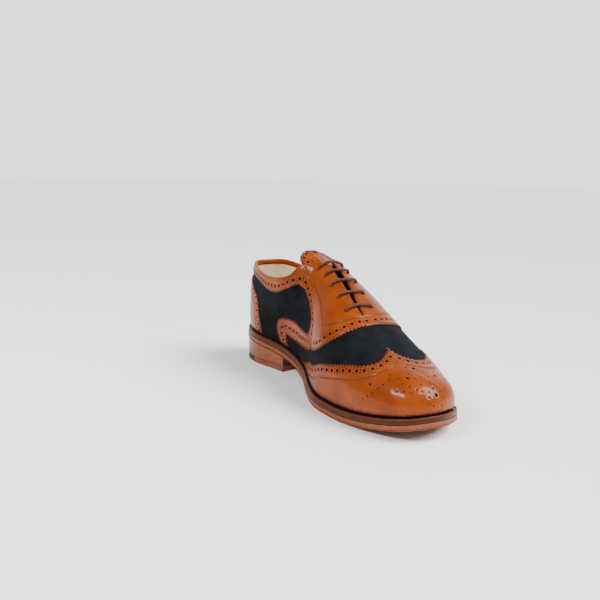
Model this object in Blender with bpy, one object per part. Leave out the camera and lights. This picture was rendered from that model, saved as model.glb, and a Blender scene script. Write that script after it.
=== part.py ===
"""Left spectator shoe: a two-tone full-brogue Oxford on a leather sole with a stacked heel.

Metres, +X to the toe, +Y to the outer side of the foot, +Z up, origin under the middle of the sole.
OUTLINE draws the sole from above and CREST the line that the upper ends on, along the instep and round
the collar. Both have a row for each station, from the toe tip to the back seam, on either side of the
foot. A station t is a real number, so that a form can start and end anywhere between two rows.
"""

from collections import namedtuple

import bpy
import numpy as np
from mathutils import Vector, geometry
from mathutils.bvhtree import BVHTree

for old in list(bpy.data.objects):
    bpy.data.objects.remove(old, do_unlink=True)

# Driving dimensions
LENGTH = 0.300  # outsole, heel back to toe tip
WIDTH = 0.108  # outsole at the ball, the unit of every breadth
INSTEP = 0.118  # height of the instep, the unit of every height of the crest
HEEL_HEIGHT = 0.0245  # floor to outsole at the heel back
TOE_SPRING = 0.0115  # floor to outsole at the toe tip
OUTSOLE = 0.0048
WELT = 0.0044
WELT_WIDTH = 0.0110
INSOLE = 0.0035
TOP_PIECE = 0.0060  # lowest layer of the heel
WALL = 0.0018  # leather and lining of the upper
OVERLAY = 0.0010  # leather of the panels sewn onto it
TONGUE = 0.0016
TONGUE_CLEAR = 0.0014  # between it and the lining
TONGUE_FREE = 0.0300  # what lies bare behind the facings
TONGUE_WIDTH = 0.0500
THROAT_GAP = 0.0080  # between the facings at their top
LACE = 0.0026
LACE_SPAN = 0.0250  # between the eyelets of a pair
LACE_LIFT = 0.0007  # between a lace bar and the facings
LACE_BARS = 5
GAP = 0.0003  # clearance between pieces

# Places and small steps that hold the look of the welt and the heel
REACH = 0.0028  # from the outsole's edge in to the upper
WELT_STEP = 0.0006
EDGE_BEVEL = 0.0007
BREAST = 0.296  # share of the length at the heel's front corners
BREAST_HOLLOW = 0.0060
HEEL_TAPER = 0.0012
RUBBER_FRONT = 0.125  # share of the length where the rubber quarter meets the leather
RUBBER_SLANT = 0.0120
THROAT_FOOT = 5.50  # station where the gap between the facings starts
THROAT_TOP = 9.0
PANEL_FOOT = 0.02  # share of the girth at which a panel ends above the welt
COLLAR_ROUND = 0.32  # share of the width over which the collar turns in

# along: share of LENGTH from the heel back; medial, lateral: shares of WIDTH from the heel's axis
Edge = namedtuple("Edge", "name along medial lateral")
OUTLINE = [
    Edge("toe tip", 1.000, 0.060, -0.060),
    Edge("toe front", 0.984, 0.245, 0.100),
    Edge("toe corner", 0.945, 0.346, 0.250),
    Edge("toe side", 0.885, 0.411, 0.345),
    Edge("ball front", 0.805, 0.460, 0.440),
    Edge("ball", 0.720, 0.478, 0.490),
    Edge("ball back", 0.635, 0.466, 0.500),
    Edge("waist front", 0.545, 0.382, 0.465),
    Edge("waist", 0.460, 0.282, 0.410),
    Edge("waist back", 0.385, 0.234, 0.370),
    Edge("shank", 0.315, 0.230, 0.342),
    Edge("breast", 0.240, 0.262, 0.330),
    Edge("heel side", 0.155, 0.310, 0.322),
    Edge("heel corner", 0.070, 0.270, 0.270),
    Edge("heel curve", 0.018, 0.150, 0.150),
    Edge("heel back", 0.000, 0.000, 0.000),
]

# along: share of LENGTH; rise: share of INSTEP; shift: share of WIDTH to the medial side; half: share of
# WIDTH to either side. The rest bends the wall between the crest and the sole: round, share of the way out
# on which the top stays flat; sink, share of the height that it drops there; flare, share of WIDTH that
# the foot of the wall leans out; climb, share of the height up to which it stays steep.
Crest = namedtuple("Crest", "name along rise shift half round sink flare climb")
CREST = [
    Crest("toe crown", 0.880, 0.422, 0.118, 0.000, 0.50, 0.00, 0.024, 0.74),
    Crest("toe crown side", 0.872, 0.428, 0.117, 0.000, 0.51, 0.00, 0.024, 0.73),
    Crest("medallion", 0.850, 0.447, 0.115, 0.000, 0.53, 0.00, 0.024, 0.71),
    Crest("cap top", 0.815, 0.484, 0.112, 0.000, 0.55, 0.00, 0.024, 0.68),
    Crest("vamp front", 0.765, 0.542, 0.108, 0.000, 0.57, 0.00, 0.024, 0.65),
    Crest("vamp back", 0.705, 0.618, 0.102, 0.000, 0.59, 0.00, 0.026, 0.62),
    Crest("low throat", 0.635, 0.720, 0.087, 0.000, 0.61, 0.01, 0.028, 0.60),
    Crest("mid throat", 0.568, 0.825, 0.060, 0.000, 0.63, 0.02, 0.032, 0.58),
    Crest("high throat", 0.500, 0.908, 0.033, 0.000, 0.68, 0.05, 0.040, 0.57),
    Crest("throat top", 0.438, 0.965, 0.010, 0.000, 0.78, 0.09, 0.045, 0.56),
    Crest("facing corner", 0.390, 0.927, 0.000, 0.176, 0.30, 0.22, 0.035, 0.48),
    Crest("collar front", 0.350, 0.828, 0.000, 0.258, 0.14, 0.32, 0.030, 0.42),
    Crest("ankle", 0.245, 0.783, 0.000, 0.274, 0.08, 0.36, 0.028, 0.40),
    Crest("collar side", 0.132, 0.805, 0.000, 0.236, 0.10, 0.36, 0.030, 0.38),
    Crest("collar curve", 0.048, 0.842, 0.000, 0.145, 0.16, 0.36, 0.030, 0.36),
    Crest("back seam", 0.028, 0.849, 0.000, 0.000, 0.20, 0.36, 0.032, 0.36),
]
BACK = len(OUTLINE) - 1

# Underside of the outsole from the side: rise is a share of HEEL_HEIGHT, slope of it over the length
Side = namedtuple("Side", "name along rise slope")
UNDERSIDE = [
    Side("heel back", 0.00, 1.00, -0.64),
    Side("arch", 0.25, 0.72, -1.60),
    Side("tread back", 0.64, 0.00, 0.00),
    Side("toe tip", 1.00, 0.00, 0.00),
]
SPRING_START = 0.72
SPRING_CURVE = 1.8

WELT_FOOT = OUTSOLE + GAP
WELT_TOP = WELT_FOOT + WELT
UPPER_FOOT = WELT_TOP + GAP
BASE = OVERLAY + 2 * GAP  # the upper's own leather lies this far under the panels' faces
LINING = BASE + WALL


def spline(rows, t):
    """Catmull-Rom curve through the rows, read at the stations t."""
    rows = np.asarray(rows, float)
    last = len(rows) - 1
    t = np.clip(np.asarray(t, float), 0, last)
    i = np.minimum(t.astype(int), last - 1)
    f = (t - i)[..., None]
    b, c = rows[i], rows[i + 1]
    a = np.where((i > 0)[..., None], rows[np.maximum(i - 1, 0)], 2 * b - c)
    d = np.where((i + 2 <= last)[..., None], rows[np.minimum(i + 2, last)], 2 * c - b)
    cubic = (2 * a - 5 * b + 4 * c - d) * f**2 + (3 * b - a - 3 * c + d) * f**3
    return 0.5 * (2 * b + (c - a) * f + cubic)


def sole_edge(side, t):
    """Outsole's edge from above at the stations t: side is -1 for medial and 1 for lateral."""
    medial = [(row.along, -row.medial) for row in OUTLINE]
    lateral = [(row.along, row.lateral) for row in OUTLINE]
    near, far = (medial, lateral) if side < 0 else (lateral, medial)
    rows = far[2:0:-1] + near + far[-2:-4:-1]
    return spline(np.array(rows) * (LENGTH, WIDTH), np.asarray(t, float) + 2)


ROUND_TRIP = np.concatenate([sole_edge(side, np.linspace(0, BACK, 301)) for side in (-1, 1)])
CENTRE = (ROUND_TRIP.min(axis=0) + ROUND_TRIP.max(axis=0)) / 2


def inset_edge(side, t, inset):
    """The outsole's edge moved in by inset, about the part's origin."""
    t = np.asarray(t, float)
    step = 1e-3
    along = sole_edge(side, t + step) - sole_edge(side, t - step)
    along /= np.linalg.norm(along, axis=-1, keepdims=True)
    outward = np.stack([along[..., 1], -along[..., 0]], axis=-1) * side
    return sole_edge(side, t) - outward * inset - CENTRE, outward


def underside(x):
    """Height of the outsole's underside over the floor."""
    share = (np.asarray(x) + CENTRE[0]) / LENGTH
    along, rise, slope = (np.array(column) for column in list(zip(*UNDERSIDE))[1:])
    i = np.clip(np.searchsorted(along, share) - 1, 0, len(along) - 2)
    run = along[i + 1] - along[i]
    u = np.clip((share - along[i]) / run, 0, 1)
    height = rise[i] * (1 + 2 * u) * (1 - u) ** 2 + slope[i] * run * u * (1 - u) ** 2
    height += rise[i + 1] * u**2 * (3 - 2 * u) - slope[i + 1] * run * u**2 * (1 - u)
    spring = np.clip((share - SPRING_START) / (1 - SPRING_START), 0, None) ** SPRING_CURVE
    return HEEL_HEIGHT * height + TOE_SPRING * spring


def crest(side, t):
    """Line that the upper ends on: the ridge of the instep, then the edge of the throat and collar."""
    t = np.asarray(t, float)
    beyond = [row._replace(half=-row.half) for row in CREST[-2:-4:-1]]
    shares = spline([row[1:] for row in CREST + beyond], t)
    opening = np.clip((t - THROAT_FOOT) / (THROAT_TOP - THROAT_FOOT), 0, 1) ** 0.7 * THROAT_GAP / 2
    opening *= np.clip(BACK - t, 0, 1)
    y = -shares[..., 2] * WIDTH + side * (shares[..., 3] * WIDTH + opening)
    points = np.stack([shares[..., 0] * LENGTH - CENTRE[0], y - CENTRE[1], shares[..., 1] * INSTEP], axis=-1)
    return points, shares[..., 4:]


def skin(side, stations, shares):
    """Outer face of the shoe: a grid over stations and shares of the girth, 0 at the welt, 1 at the crest."""
    t = np.asarray(stations, float)
    edge, outward = inset_edge(side, t, REACH)
    foot = np.column_stack([edge, underside(edge[:, 0]) + UPPER_FOOT])
    top, bend = crest(side, t)
    round_, sink, flare, climb = bend.T[:, :, None]
    out = foot[:, :2] - top[:, :2]
    span = np.linalg.norm(out, axis=1, keepdims=True)
    height = top[:, 2:] - foot[:, 2:]
    vamp = np.clip((THROAT_TOP + 0.4 - t) / 1.2, 0, 1)[:, None]
    away = out / span * vamp + outward * (1 - vamp)
    away /= np.linalg.norm(away, axis=1, keepdims=True)
    flat = round_ * (span * vamp + COLLAR_ROUND * WIDTH * (1 - vamp))
    ahead = crest(side, np.clip(t - 0.05, 0, THROAT_TOP - 0.1))[0]
    run = ahead - crest(side, np.clip(t + 0.05, 0.1, THROAT_TOP))[0]
    slope = run[:, 2:] / run[:, :1] * vamp
    low = foot + np.hstack([outward * flare * WIDTH, climb * height])
    high = top + np.hstack([away * flat, slope * away[:, :1] * flat - sink * height])
    fine = np.linspace(0, 1, 49)[:, None]
    grid = np.empty((len(t), len(shares), 3))
    for row, corners in enumerate(zip(foot, low, high, top)):
        a, b, c, d = corners
        curve = (1 - fine) ** 3 * a + 3 * (1 - fine) ** 2 * fine * b
        curve += 3 * (1 - fine) * fine**2 * c + fine**3 * d
        length = np.append(0, np.cumsum(np.linalg.norm(np.diff(curve, axis=0), axis=1)))
        grid[row] = np.column_stack([np.interp(shares, length / length[-1], axis) for axis in curve.T])
    return grid


def skin_mesh(stations, shares):
    """Both sides of the skin as one open mesh, joined round the toe, on the ridge and up the back seam."""
    grids = {side: skin(side, stations, shares) for side in (-1, 1)}
    size = len(stations) * len(shares)
    medial = np.arange(size).reshape(len(stations), len(shares))
    lateral = medial + size
    lateral[0], lateral[-1] = medial[0], medial[-1]
    ridge = stations <= THROAT_FOOT
    lateral[ridge, -1] = medial[ridge, -1]
    points = np.concatenate([grids[-1].reshape(-1, 3), grids[1].reshape(-1, 3)])
    quads = []
    for index, turn in ((medial, -1), (lateral, 1)):
        corners = np.stack([index[:-1, :-1], index[1:, :-1], index[1:, 1:], index[:-1, 1:]], axis=-1)
        quads.append(corners.reshape(-1, 4)[:, ::turn])
    quads = np.concatenate(quads)
    normals = np.zeros_like(points)
    a, b, c, d = points[quads.T]
    for corner in quads.T:
        np.add.at(normals, corner, np.cross(c - a, d - b))
    normals /= np.maximum(np.linalg.norm(normals, axis=1, keepdims=True), 1e-12)
    return points, normals, quads, {-1: medial, 1: lateral}


def finish(name, points, faces, material, smooth=35):
    """Object of the points and faces, shaded smooth but for edges sharper than smooth degrees."""
    mesh = bpy.data.meshes.new(name)
    mesh.from_pydata([tuple(point) for point in points], [], [tuple(int(i) for i in face) for face in faces])
    mesh.shade_smooth()
    mesh.set_sharp_from_angle(angle=np.radians(smooth))
    mesh.materials.append(MATERIALS[material])
    obj = bpy.data.objects.new(name, mesh)
    bpy.context.collection.objects.link(obj)
    obj.parent = SHOE
    return obj


def shell(name, points, normals, faces, outer, inner, material):
    """Solid between two offsets of an open surface, with a rim along each of its edges."""
    count = len(points)
    walls = np.concatenate([points + normals * outer, points + normals * inner])
    sides = [list(face) for face in faces]
    solid = sides + [[corner + count for corner in reversed(face)] for face in sides]
    edges = {edge for face in sides for edge in zip(face, face[1:] + face[:1])}
    for a, b in sorted(edges):
        if (b, a) not in edges:
            solid.append([b, a, a + count, b + count])
    return finish(name, walls, solid, material)


def ring(stations, inset, height):
    """Closed line round the sole, anticlockwise from the toe: height is a function of x."""
    lateral = inset_edge(1, stations, inset)[0]
    medial = inset_edge(-1, stations, inset)[0]
    plan = np.concatenate([lateral, medial[-2:0:-1]])
    return np.column_stack([plan, height(plan[:, 0])])


def strips(count):
    """Faces that fill a ring of count stations, station by station across the sole."""
    around = 2 * (count - 1)
    faces = []
    for k in range(count - 1):
        corners = [k, k + 1, (around - k - 1) % around, (around - k) % around]
        faces.append(list(dict.fromkeys(corners)))
    return faces


def loft(name, rings, material, cap=None):
    """Solid through the rings from the lowest up, closed by the cap's faces, or joined last to first."""
    count = len(rings[0])
    pairs = list(zip(range(len(rings) - 1), range(1, len(rings))))
    if cap is None:
        pairs.append((len(rings) - 1, 0))
    faces = []
    for low, high in pairs:
        for i in range(count):
            j = (i + 1) % count
            faces.append([low * count + i, low * count + j, high * count + j, high * count + i])
    if cap is not None:
        faces += [face[::-1] for face in cap]
        faces += [[corner + (len(rings) - 1) * count for corner in face] for face in cap]
    return finish(name, np.concatenate(rings), faces, material)


class Pattern:
    """The skin unrolled flat, like a maker's pattern, and the way back from the pattern to the shoe.

    On the vamp pattern X runs along the ridge to the toe and the wall lies out to either side of it. On
    the heel pattern X runs round the heel from the back seam and Y is up.
    """

    STATIONS = np.union1d(np.linspace(0, BACK, 121), [THROAT_FOOT])
    SHARES = np.linspace(0, 1, 17)

    def __init__(self, kind):
        self.kind = kind
        points, normals, _, index = skin_mesh(self.STATIONS, self.SHARES)
        self.corners = np.concatenate([points[index[side]].reshape(-1, 3) for side in (-1, 1)])
        self.normals = np.concatenate([normals[index[side]].reshape(-1, 3) for side in (-1, 1)])
        self.flat = {side: self.unroll(side, points[index[side]]) for side in (-1, 1)}
        plane = np.concatenate([self.flat[side].reshape(-1, 2) for side in (-1, 1)])
        quad = np.arange(len(plane)).reshape(2, len(self.STATIONS), len(self.SHARES))
        a, b, c, d = quad[:, :-1, :-1], quad[:, 1:, :-1], quad[:, 1:, 1:], quad[:, :-1, 1:]
        self.triangles = np.concatenate([np.stack(t, axis=-1).reshape(-1, 3) for t in ((a, b, c), (a, c, d))])
        self.plane = np.column_stack([plane, np.zeros(len(plane))])
        self.tree = BVHTree.FromPolygons(self.plane.tolist(), self.triangles.tolist())

    def unroll(self, side, grid):
        girth = np.linalg.norm(np.diff(grid, axis=1), axis=2).sum(axis=1)
        foot, top = grid[:, 0], grid[:, -1]
        down = (1 - self.SHARES)[None, :, None] * girth[:, None, None]
        if self.kind == "heel":
            round_foot = np.linalg.norm(np.diff(foot[:, :2], axis=0), axis=1)
            round_top = np.linalg.norm(np.diff(top[:, :2], axis=0), axis=1)
            along = np.append(0, np.cumsum((round_foot + round_top) / 2))
            start = np.column_stack([side * (along[-1] - along), top[:, 2]])
            return start[:, None] + down * (0, -1)
        on_ridge = self.STATIONS <= THROAT_TOP
        line = np.where(on_ridge[:, None], top * (1, 0, 1), top * (1, 1, 0))
        steps = np.linalg.norm(np.diff(line, axis=0), axis=1)
        turn = np.sum(on_ridge) - 1
        steps[turn] = np.linalg.norm(top[turn + 1, :2] - top[turn, :2])
        along = np.append(0, np.cumsum(steps))
        middle = -spline([[row.shift] for row in CREST], self.STATIONS)[:, 0] * WIDTH - CENTRE[1]
        aside = np.where(on_ridge, abs(top[:, 1] - middle), THROAT_GAP / 2)
        drop = np.where(on_ridge, 0, top[turn, 2] - top[:, 2])
        start = np.column_stack([-along, side * (aside + drop)])
        out = foot[:, :2] - top[:, :2]
        out /= np.linalg.norm(out, axis=1, keepdims=True)
        fan = np.clip(7 - self.STATIONS, 0, 1)[:, None]
        out = out * fan + np.array([0, side]) * (1 - fan)
        out /= np.linalg.norm(out, axis=1, keepdims=True)
        return start[:, None] + down * out[:, None]

    def spot(self, side, t, v):
        """Place on the pattern of station t and girth share v."""
        grid = self.flat[side]
        rows = np.array([[np.interp(v, self.SHARES, row[:, axis]) for axis in (0, 1)] for row in grid])
        return np.array([np.interp(t, self.STATIONS, rows[:, axis]) for axis in (0, 1)])

    def lift(self, plane):
        """Points of the shoe, and its normals there, for points of the pattern."""
        points, normals = [], []
        for x, y in plane:
            _, _, face, _ = self.tree.find_nearest((x, y, 0))
            corners = self.triangles[face]
            a, b, c = self.plane[corners][:, :2]
            u, v = np.linalg.solve(np.column_stack([b - a, c - a]), (x, y) - a)
            weights = np.array([1 - u - v, u, v])
            points.append(weights @ self.corners[corners])
            normal = weights @ self.normals[corners]
            normals.append(normal / np.linalg.norm(normal))
        return np.array(points), np.array(normals)


def through(points, spacing):
    """Smooth open line through the points, with a point about every spacing."""
    points = np.array(points)
    fine = spline(points, np.linspace(0, len(points) - 1, 40 * len(points)))
    length = np.append(0, np.cumsum(np.linalg.norm(np.diff(fine, axis=0), axis=1)))
    count = max(2, int(round(length[-1] / spacing)) + 1)
    marks = np.linspace(0, length[-1], count)
    return np.column_stack([np.interp(marks, length, axis) for axis in fine.T])


PANEL_NET = 0.0062  # spacing of the points that a panel is meshed with
NET_CLEAR = 0.62  # share of that spacing by which the inner points keep off its outline


def panel(name, pattern, runs, material, spacing=PANEL_NET):
    """Sewn-on panel: runs are the smooth stretches of its outline, corner to corner and in order."""
    lines = [through(run, spacing) for run in runs]
    outline = np.concatenate([line[:-1] for line in lines])
    low, high = outline.min(axis=0), outline.max(axis=0)
    xs, ys = np.arange(low[0], high[0], spacing), np.arange(low[1], high[1], spacing * 0.9)
    net = np.array([(x + spacing / 2 * (row % 2), y) for row, y in enumerate(ys) for x in xs])
    away = np.linalg.norm(net[:, None] - outline[None], axis=2).min(axis=1)
    net = net[away > NET_CLEAR * spacing]
    seeds = [Vector(point) for point in np.concatenate([outline, net])]
    loop = list(range(len(outline)))
    plane, _, faces, *_ = geometry.delaunay_2d_cdt(seeds, [], [loop], 1, 1e-7)
    plane = np.array([tuple(point) for point in plane])
    faces = np.array(faces)
    used, faces = np.unique(faces, return_inverse=True)
    faces = faces.reshape(-1, 3)
    points, normals = pattern.lift(plane[used])
    a, b, c = points[faces.T]
    facing = np.einsum("ij,ij->i", np.cross(b - a, c - a), normals[faces[:, 0]])
    faces = np.where((facing < 0)[:, None], faces[:, ::-1], faces)
    return shell(name, points, normals, faces.tolist(), 0, -OVERLAY, material)


def station_at(side, along, inset=0.0):
    """Station on the hind part of the shoe where the sole's edge is at a share of the length."""
    stations = np.linspace(BACK - 6, BACK, 601)
    x = inset_edge(side, stations, inset)[0][:, 0]
    return np.interp(-(along * LENGTH - CENTRE[0]), -x, stations)


def heel_ring(inset, front, back, height, hollow, count=12):
    """Line round the heel, anticlockwise, from the station at front on either side to that at back."""
    halves = []
    for side in (1, -1):
        first = station_at(side, front[side], inset)
        last = BACK if back is None else station_at(side, back[side], inset)
        halves.append(inset_edge(side, np.linspace(first, last, count), inset)[0])
    lateral, medial = halves
    plan = [lateral, medial[::-1] if back is not None else medial[-2::-1]]
    if hollow is not None:
        u = np.linspace(-1, 1, 9)[1:-1, None]
        line = (medial[0] * (1 - u) + lateral[0] * (1 + u)) / 2
        plan.append(line - (1 - u**2) * (hollow, 0))
    plan = np.concatenate(plan)
    return np.column_stack([plan, height(plan[:, 0])])


def fill(points):
    """Faces that fill a nearly flat ring seen from above."""
    flat = [Vector((x, y, 0)) for x, y in points[:, :2]]
    faces = [list(face) for face in geometry.tessellate_polygon([flat])]
    for face in faces:
        a, b, c = points[face][:, :2]
        if np.cross(b - a, c - a) < 0:
            face.reverse()
    return faces


MATERIALS = {}
for title, red, green, blue, roughness in (
    ("burnished tan calf", 0.45, 0.115, 0.020, 0.30),
    ("navy suede", 0.010, 0.013, 0.018, 0.90),
    ("tan sole leather", 0.36, 0.13, 0.050, 0.50),
    ("dark burnished welt", 0.060, 0.018, 0.008, 0.30),
    ("stacked leather", 0.38, 0.18, 0.050, 0.45),
    ("russet top piece", 0.20, 0.055, 0.020, 0.45),
    ("black rubber", 0.015, 0.015, 0.015, 0.70),
    ("cream lining", 0.62, 0.53, 0.40, 0.60),
    ("brown waxed lace", 0.070, 0.022, 0.010, 0.45),
):
    MATERIALS[title] = bpy.data.materials.new(title)
    MATERIALS[title].use_nodes = True
    surface = MATERIALS[title].node_tree.nodes["Principled BSDF"]
    surface.inputs["Base Color"].default_value = (red, green, blue, 1)
    surface.inputs["Roughness"].default_value = roughness
    surface.inputs["Metallic"].default_value = 0
SHOE = bpy.data.objects.new("shoe", None)
bpy.context.collection.objects.link(SHOE)


def above(height):
    """Height over the outsole's underside, as a function of x."""
    return lambda x: underside(x) + height


def make_sole():
    """Outsole, the welt stitched on it and the insole that the foot stands on."""
    around = np.union1d(np.linspace(0, BACK, 37), [0.5, BACK - 0.5])
    edge = [
        ring(around, EDGE_BEVEL, above(0)),
        ring(around, 0, above(EDGE_BEVEL)),
        ring(around, 0, above(OUTSOLE - EDGE_BEVEL)),
        ring(around, EDGE_BEVEL, above(OUTSOLE)),
    ]
    loft("outsole", edge, "tan sole leather", strips(len(around)))
    band = [
        ring(around, WELT_WIDTH, above(WELT_FOOT)),
        ring(around, WELT_STEP, above(WELT_FOOT)),
        ring(around, WELT_STEP, above(WELT_TOP - EDGE_BEVEL)),
        ring(around, WELT_STEP + EDGE_BEVEL, above(WELT_TOP)),
        ring(around, WELT_WIDTH, above(WELT_TOP)),
    ]
    loft("welt", band, "dark burnished welt")
    inner = REACH + LINING + 3 * GAP
    bed = [
        ring(around, WELT_WIDTH + GAP, above(WELT_FOOT)),
        ring(around, WELT_WIDTH + GAP, above(UPPER_FOOT)),
        ring(around, inner, above(UPPER_FOOT)),
        ring(around, inner, above(UPPER_FOOT + INSOLE)),
    ]
    loft("insole", bed, "cream lining", strips(len(around)))


def make_heel():
    """Stacked heel under the outsole, and its top piece of leather in front and rubber behind."""
    front = {-1: BREAST, 1: BREAST}
    seat = above(-GAP)
    lifts = [
        heel_ring(HEEL_TAPER, front, None, lambda x: 0 * x + TOP_PIECE + GAP, BREAST_HOLLOW),
        heel_ring(WELT_STEP, front, None, seat, BREAST_HOLLOW),
    ]
    loft("heel_stack", lifts, "stacked leather", fill(lifts[1]))
    slant = RUBBER_SLANT / LENGTH / 2
    split = {-1: RUBBER_FRONT + slant, 1: RUBBER_FRONT - slant}
    leather = [
        heel_ring(HEEL_TAPER, front, split, lambda x: 0 * x, BREAST_HOLLOW),
        heel_ring(HEEL_TAPER, front, split, lambda x: 0 * x + TOP_PIECE, BREAST_HOLLOW),
    ]
    loft("heel_top_leather", leather, "russet top piece", fill(leather[1]))
    split = {side: share - GAP / LENGTH for side, share in split.items()}
    rubber = [
        heel_ring(HEEL_TAPER, split, None, lambda x: 0 * x, None),
        heel_ring(HEEL_TAPER, split, None, lambda x: 0 * x + TOP_PIECE, None),
    ]
    loft("heel_top_rubber", rubber, "black rubber", fill(rubber[1]))


def make_upper():
    """Suede body of the upper, open at the throat, the collar and underneath, with its lining."""
    stations = np.unique([*np.linspace(0, 8, 17), *np.linspace(8, 11, 13), *np.linspace(11, BACK, 9)])
    shares = np.linspace(0, 1, 11)
    points, normals, quads, index = skin_mesh(stations, shares)
    used, faces = np.unique(quads, return_inverse=True)
    foot = np.concatenate([index[side][:, 0] for side in (-1, 1)])
    normals[foot, 2] = 0
    faces = faces.reshape(-1, 4).tolist()
    shell("upper", points[used], normals[used], faces, -BASE, -LINING, "navy suede")


# Outline of the toe cap's wing on either side: its station at each share of the girth, from the point on
# the ridge down to the welt
Wing = namedtuple("Wing", "share medial lateral")
WING = [
    Wing(1.00, 3.45, 3.45),
    Wing(0.93, 3.28, 2.98),
    Wing(0.84, 3.26, 2.80),
    Wing(0.70, 3.33, 2.90),
    Wing(0.57, 3.78, 3.40),
    Wing(0.465, 4.60, 4.40),
    Wing(0.335, 5.75, 5.60),
    Wing(0.18, 7.25, 7.20),
    Wing(PANEL_FOOT, 8.70, 8.60),
]

# Edges of the facing, which carries on as the collar band and as a curl down to the welt: station, share
FACING_FRONT = [(4.93, 1.00), (5.00, 0.90), (5.12, 0.79), (5.45, 0.625), (6.03, 0.458), (6.95, 0.317)]
CURL_INNER = [(6.95, 0.317), (7.60, 0.235), (8.28, 0.180), (8.95, 0.148), (9.65, 0.142), (10.10, 0.160)]
CURL_HOOK = [(10.10, 0.160), (10.05, 0.092), (9.93, PANEL_FOOT)]
CURL_FOOT = (10.24, PANEL_FOOT)
CURL_OUTER = [
    (10.55, PANEL_FOOT),
    (10.73, 0.100),
    (10.83, 0.217),
    (10.75, 0.325),
    (10.30, 0.367),
    (9.65, 0.358),
    (8.88, 0.335),
    (8.10, 0.350),
    (7.70, 0.400),
]
FACING_BACK = [(7.70, 0.400), (7.68, 0.500), (8.10, 0.575), (8.60, 0.640), (9.10, 0.690)]
BAND_END = 14.98  # station where the collar band stops on each side, just short of the back seam
BAND_LOW = [
    (9.10, 0.690),
    (9.70, 0.755),
    (10.70, 0.805),
    (11.43, 0.800),
    (12.00, 0.830),
    (12.90, 0.890),
    (BAND_END, 0.900),
]
BAND_MIDDLE = (BAND_END, 0.950)

# Front and top edge of the heel counter, from the welt to the back seam: station, share
COUNTER = [
    (11.62, PANEL_FOOT),
    (11.80, 0.183),
    (12.15, 0.433),
    (12.50, 0.620),
    (13.10, 0.730),
    (14.00, 0.790),
    (BACK, 0.810),
]


def make_panels():
    """Tan panels sewn over the suede: the winged toe cap, the facing with its collar band, the counter."""
    vamp, heel = Pattern("vamp"), Pattern("heel")

    def edge(pattern, side, rows):
        return [pattern.spot(side, t, v) for t, v in rows]

    medial = edge(vamp, -1, [(row.medial, row.share) for row in WING])
    lateral = edge(vamp, 1, [(row.lateral, row.share) for row in WING])
    foot = [(t, PANEL_FOOT) for t in np.linspace(WING[-1].lateral, 0, 12)]
    back = [(t, PANEL_FOOT) for t in np.linspace(0, WING[-1].medial, 12)]
    welt = edge(vamp, 1, foot) + edge(vamp, -1, back)[1:]
    panel("wing_cap", vamp, [lateral, welt, medial[::-1]], "burnished tan calf")

    runs = []
    for side in (-1, 1):
        collar = [(t, 1.0) for t in np.linspace(BAND_END, THROAT_TOP, 19)]
        throat = [(t, 1.0) for t in np.linspace(THROAT_TOP, THROAT_FOOT, 12)]
        foot = [CURL_HOOK[-1], CURL_FOOT, CURL_OUTER[0]]
        back_end = [BAND_LOW[-1], BAND_MIDDLE, collar[0]]
        lines = [FACING_FRONT, CURL_INNER, CURL_HOOK, foot, CURL_OUTER, FACING_BACK, BAND_LOW, back_end]
        lines = [edge(vamp, side, rows) for rows in lines + [collar, throat]]
        runs += lines if side < 0 else [line[::-1] for line in lines[::-1]]
    panel("facing", vamp, runs, "burnished tan calf")

    front = {side: edge(heel, side, COUNTER) for side in (-1, 1)}
    foot = [(t, PANEL_FOOT) for t in np.linspace(COUNTER[0][0], BACK, 7)]
    welt = edge(heel, -1, foot)[:-1] + edge(heel, 1, foot[::-1])
    top = front[1] + front[-1][::-1][1:]
    panel("heel_counter", heel, [welt, top], "burnished tan calf")


TONGUE_FRONT = 4.9  # station where the tongue is sewn in under the vamp
TONGUE_SIDE = 9.7  # station at which its side leaves the facing
TONGUE_CORNER = 0.6  # share of its bare length that is left at its sides
TONGUE_LEAN = (18, 10)  # degrees over the floor of what lies behind the facings, at its foot and its top


def tongue_line(share, steps, above):
    """Line down the tongue at a share of its half width, from under the vamp to its free end."""
    side = -1 if share < 0 else 1
    share = abs(share)
    end = THROAT_TOP + (TONGUE_SIDE - THROAT_TOP) * share
    stations = np.linspace(TONGUE_FRONT, end, steps)
    girth = np.linalg.norm(np.diff(skin(side, stations, np.linspace(0, 1, 13)), axis=1), axis=2).sum(axis=1)
    narrow = 0.7 + 0.3 * (stations - TONGUE_FRONT) / (end - TONGUE_FRONT)
    meet = 1 - np.clip((stations - THROAT_TOP + 1) / (end - THROAT_TOP + 1), 0, 1) ** 2
    shares = 1 - share * TONGUE_WIDTH / 2 * narrow * meet / girth
    if share == 0:
        line = (crest(-1, stations)[0] + crest(1, stations)[0]) / 2
    else:
        line = np.array([skin(side, [t], [v])[0, 0] for t, v in zip(stations, shares)])
    back = TONGUE_FREE * (TONGUE_CORNER + (1 - TONGUE_CORNER) * np.sqrt(1 - share**2.5))
    length = back - crest(side, THROAT_TOP)[0][0] + line[-1][0]
    free = [line[-1]]
    for part in range(above):
        lean = np.radians(np.interp(part, (0, above - 1), TONGUE_LEAN))
        free.append(free[-1] + np.array([-1, 0, np.tan(lean)]) * length / above)
    return np.concatenate([line, free[1:]])


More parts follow.
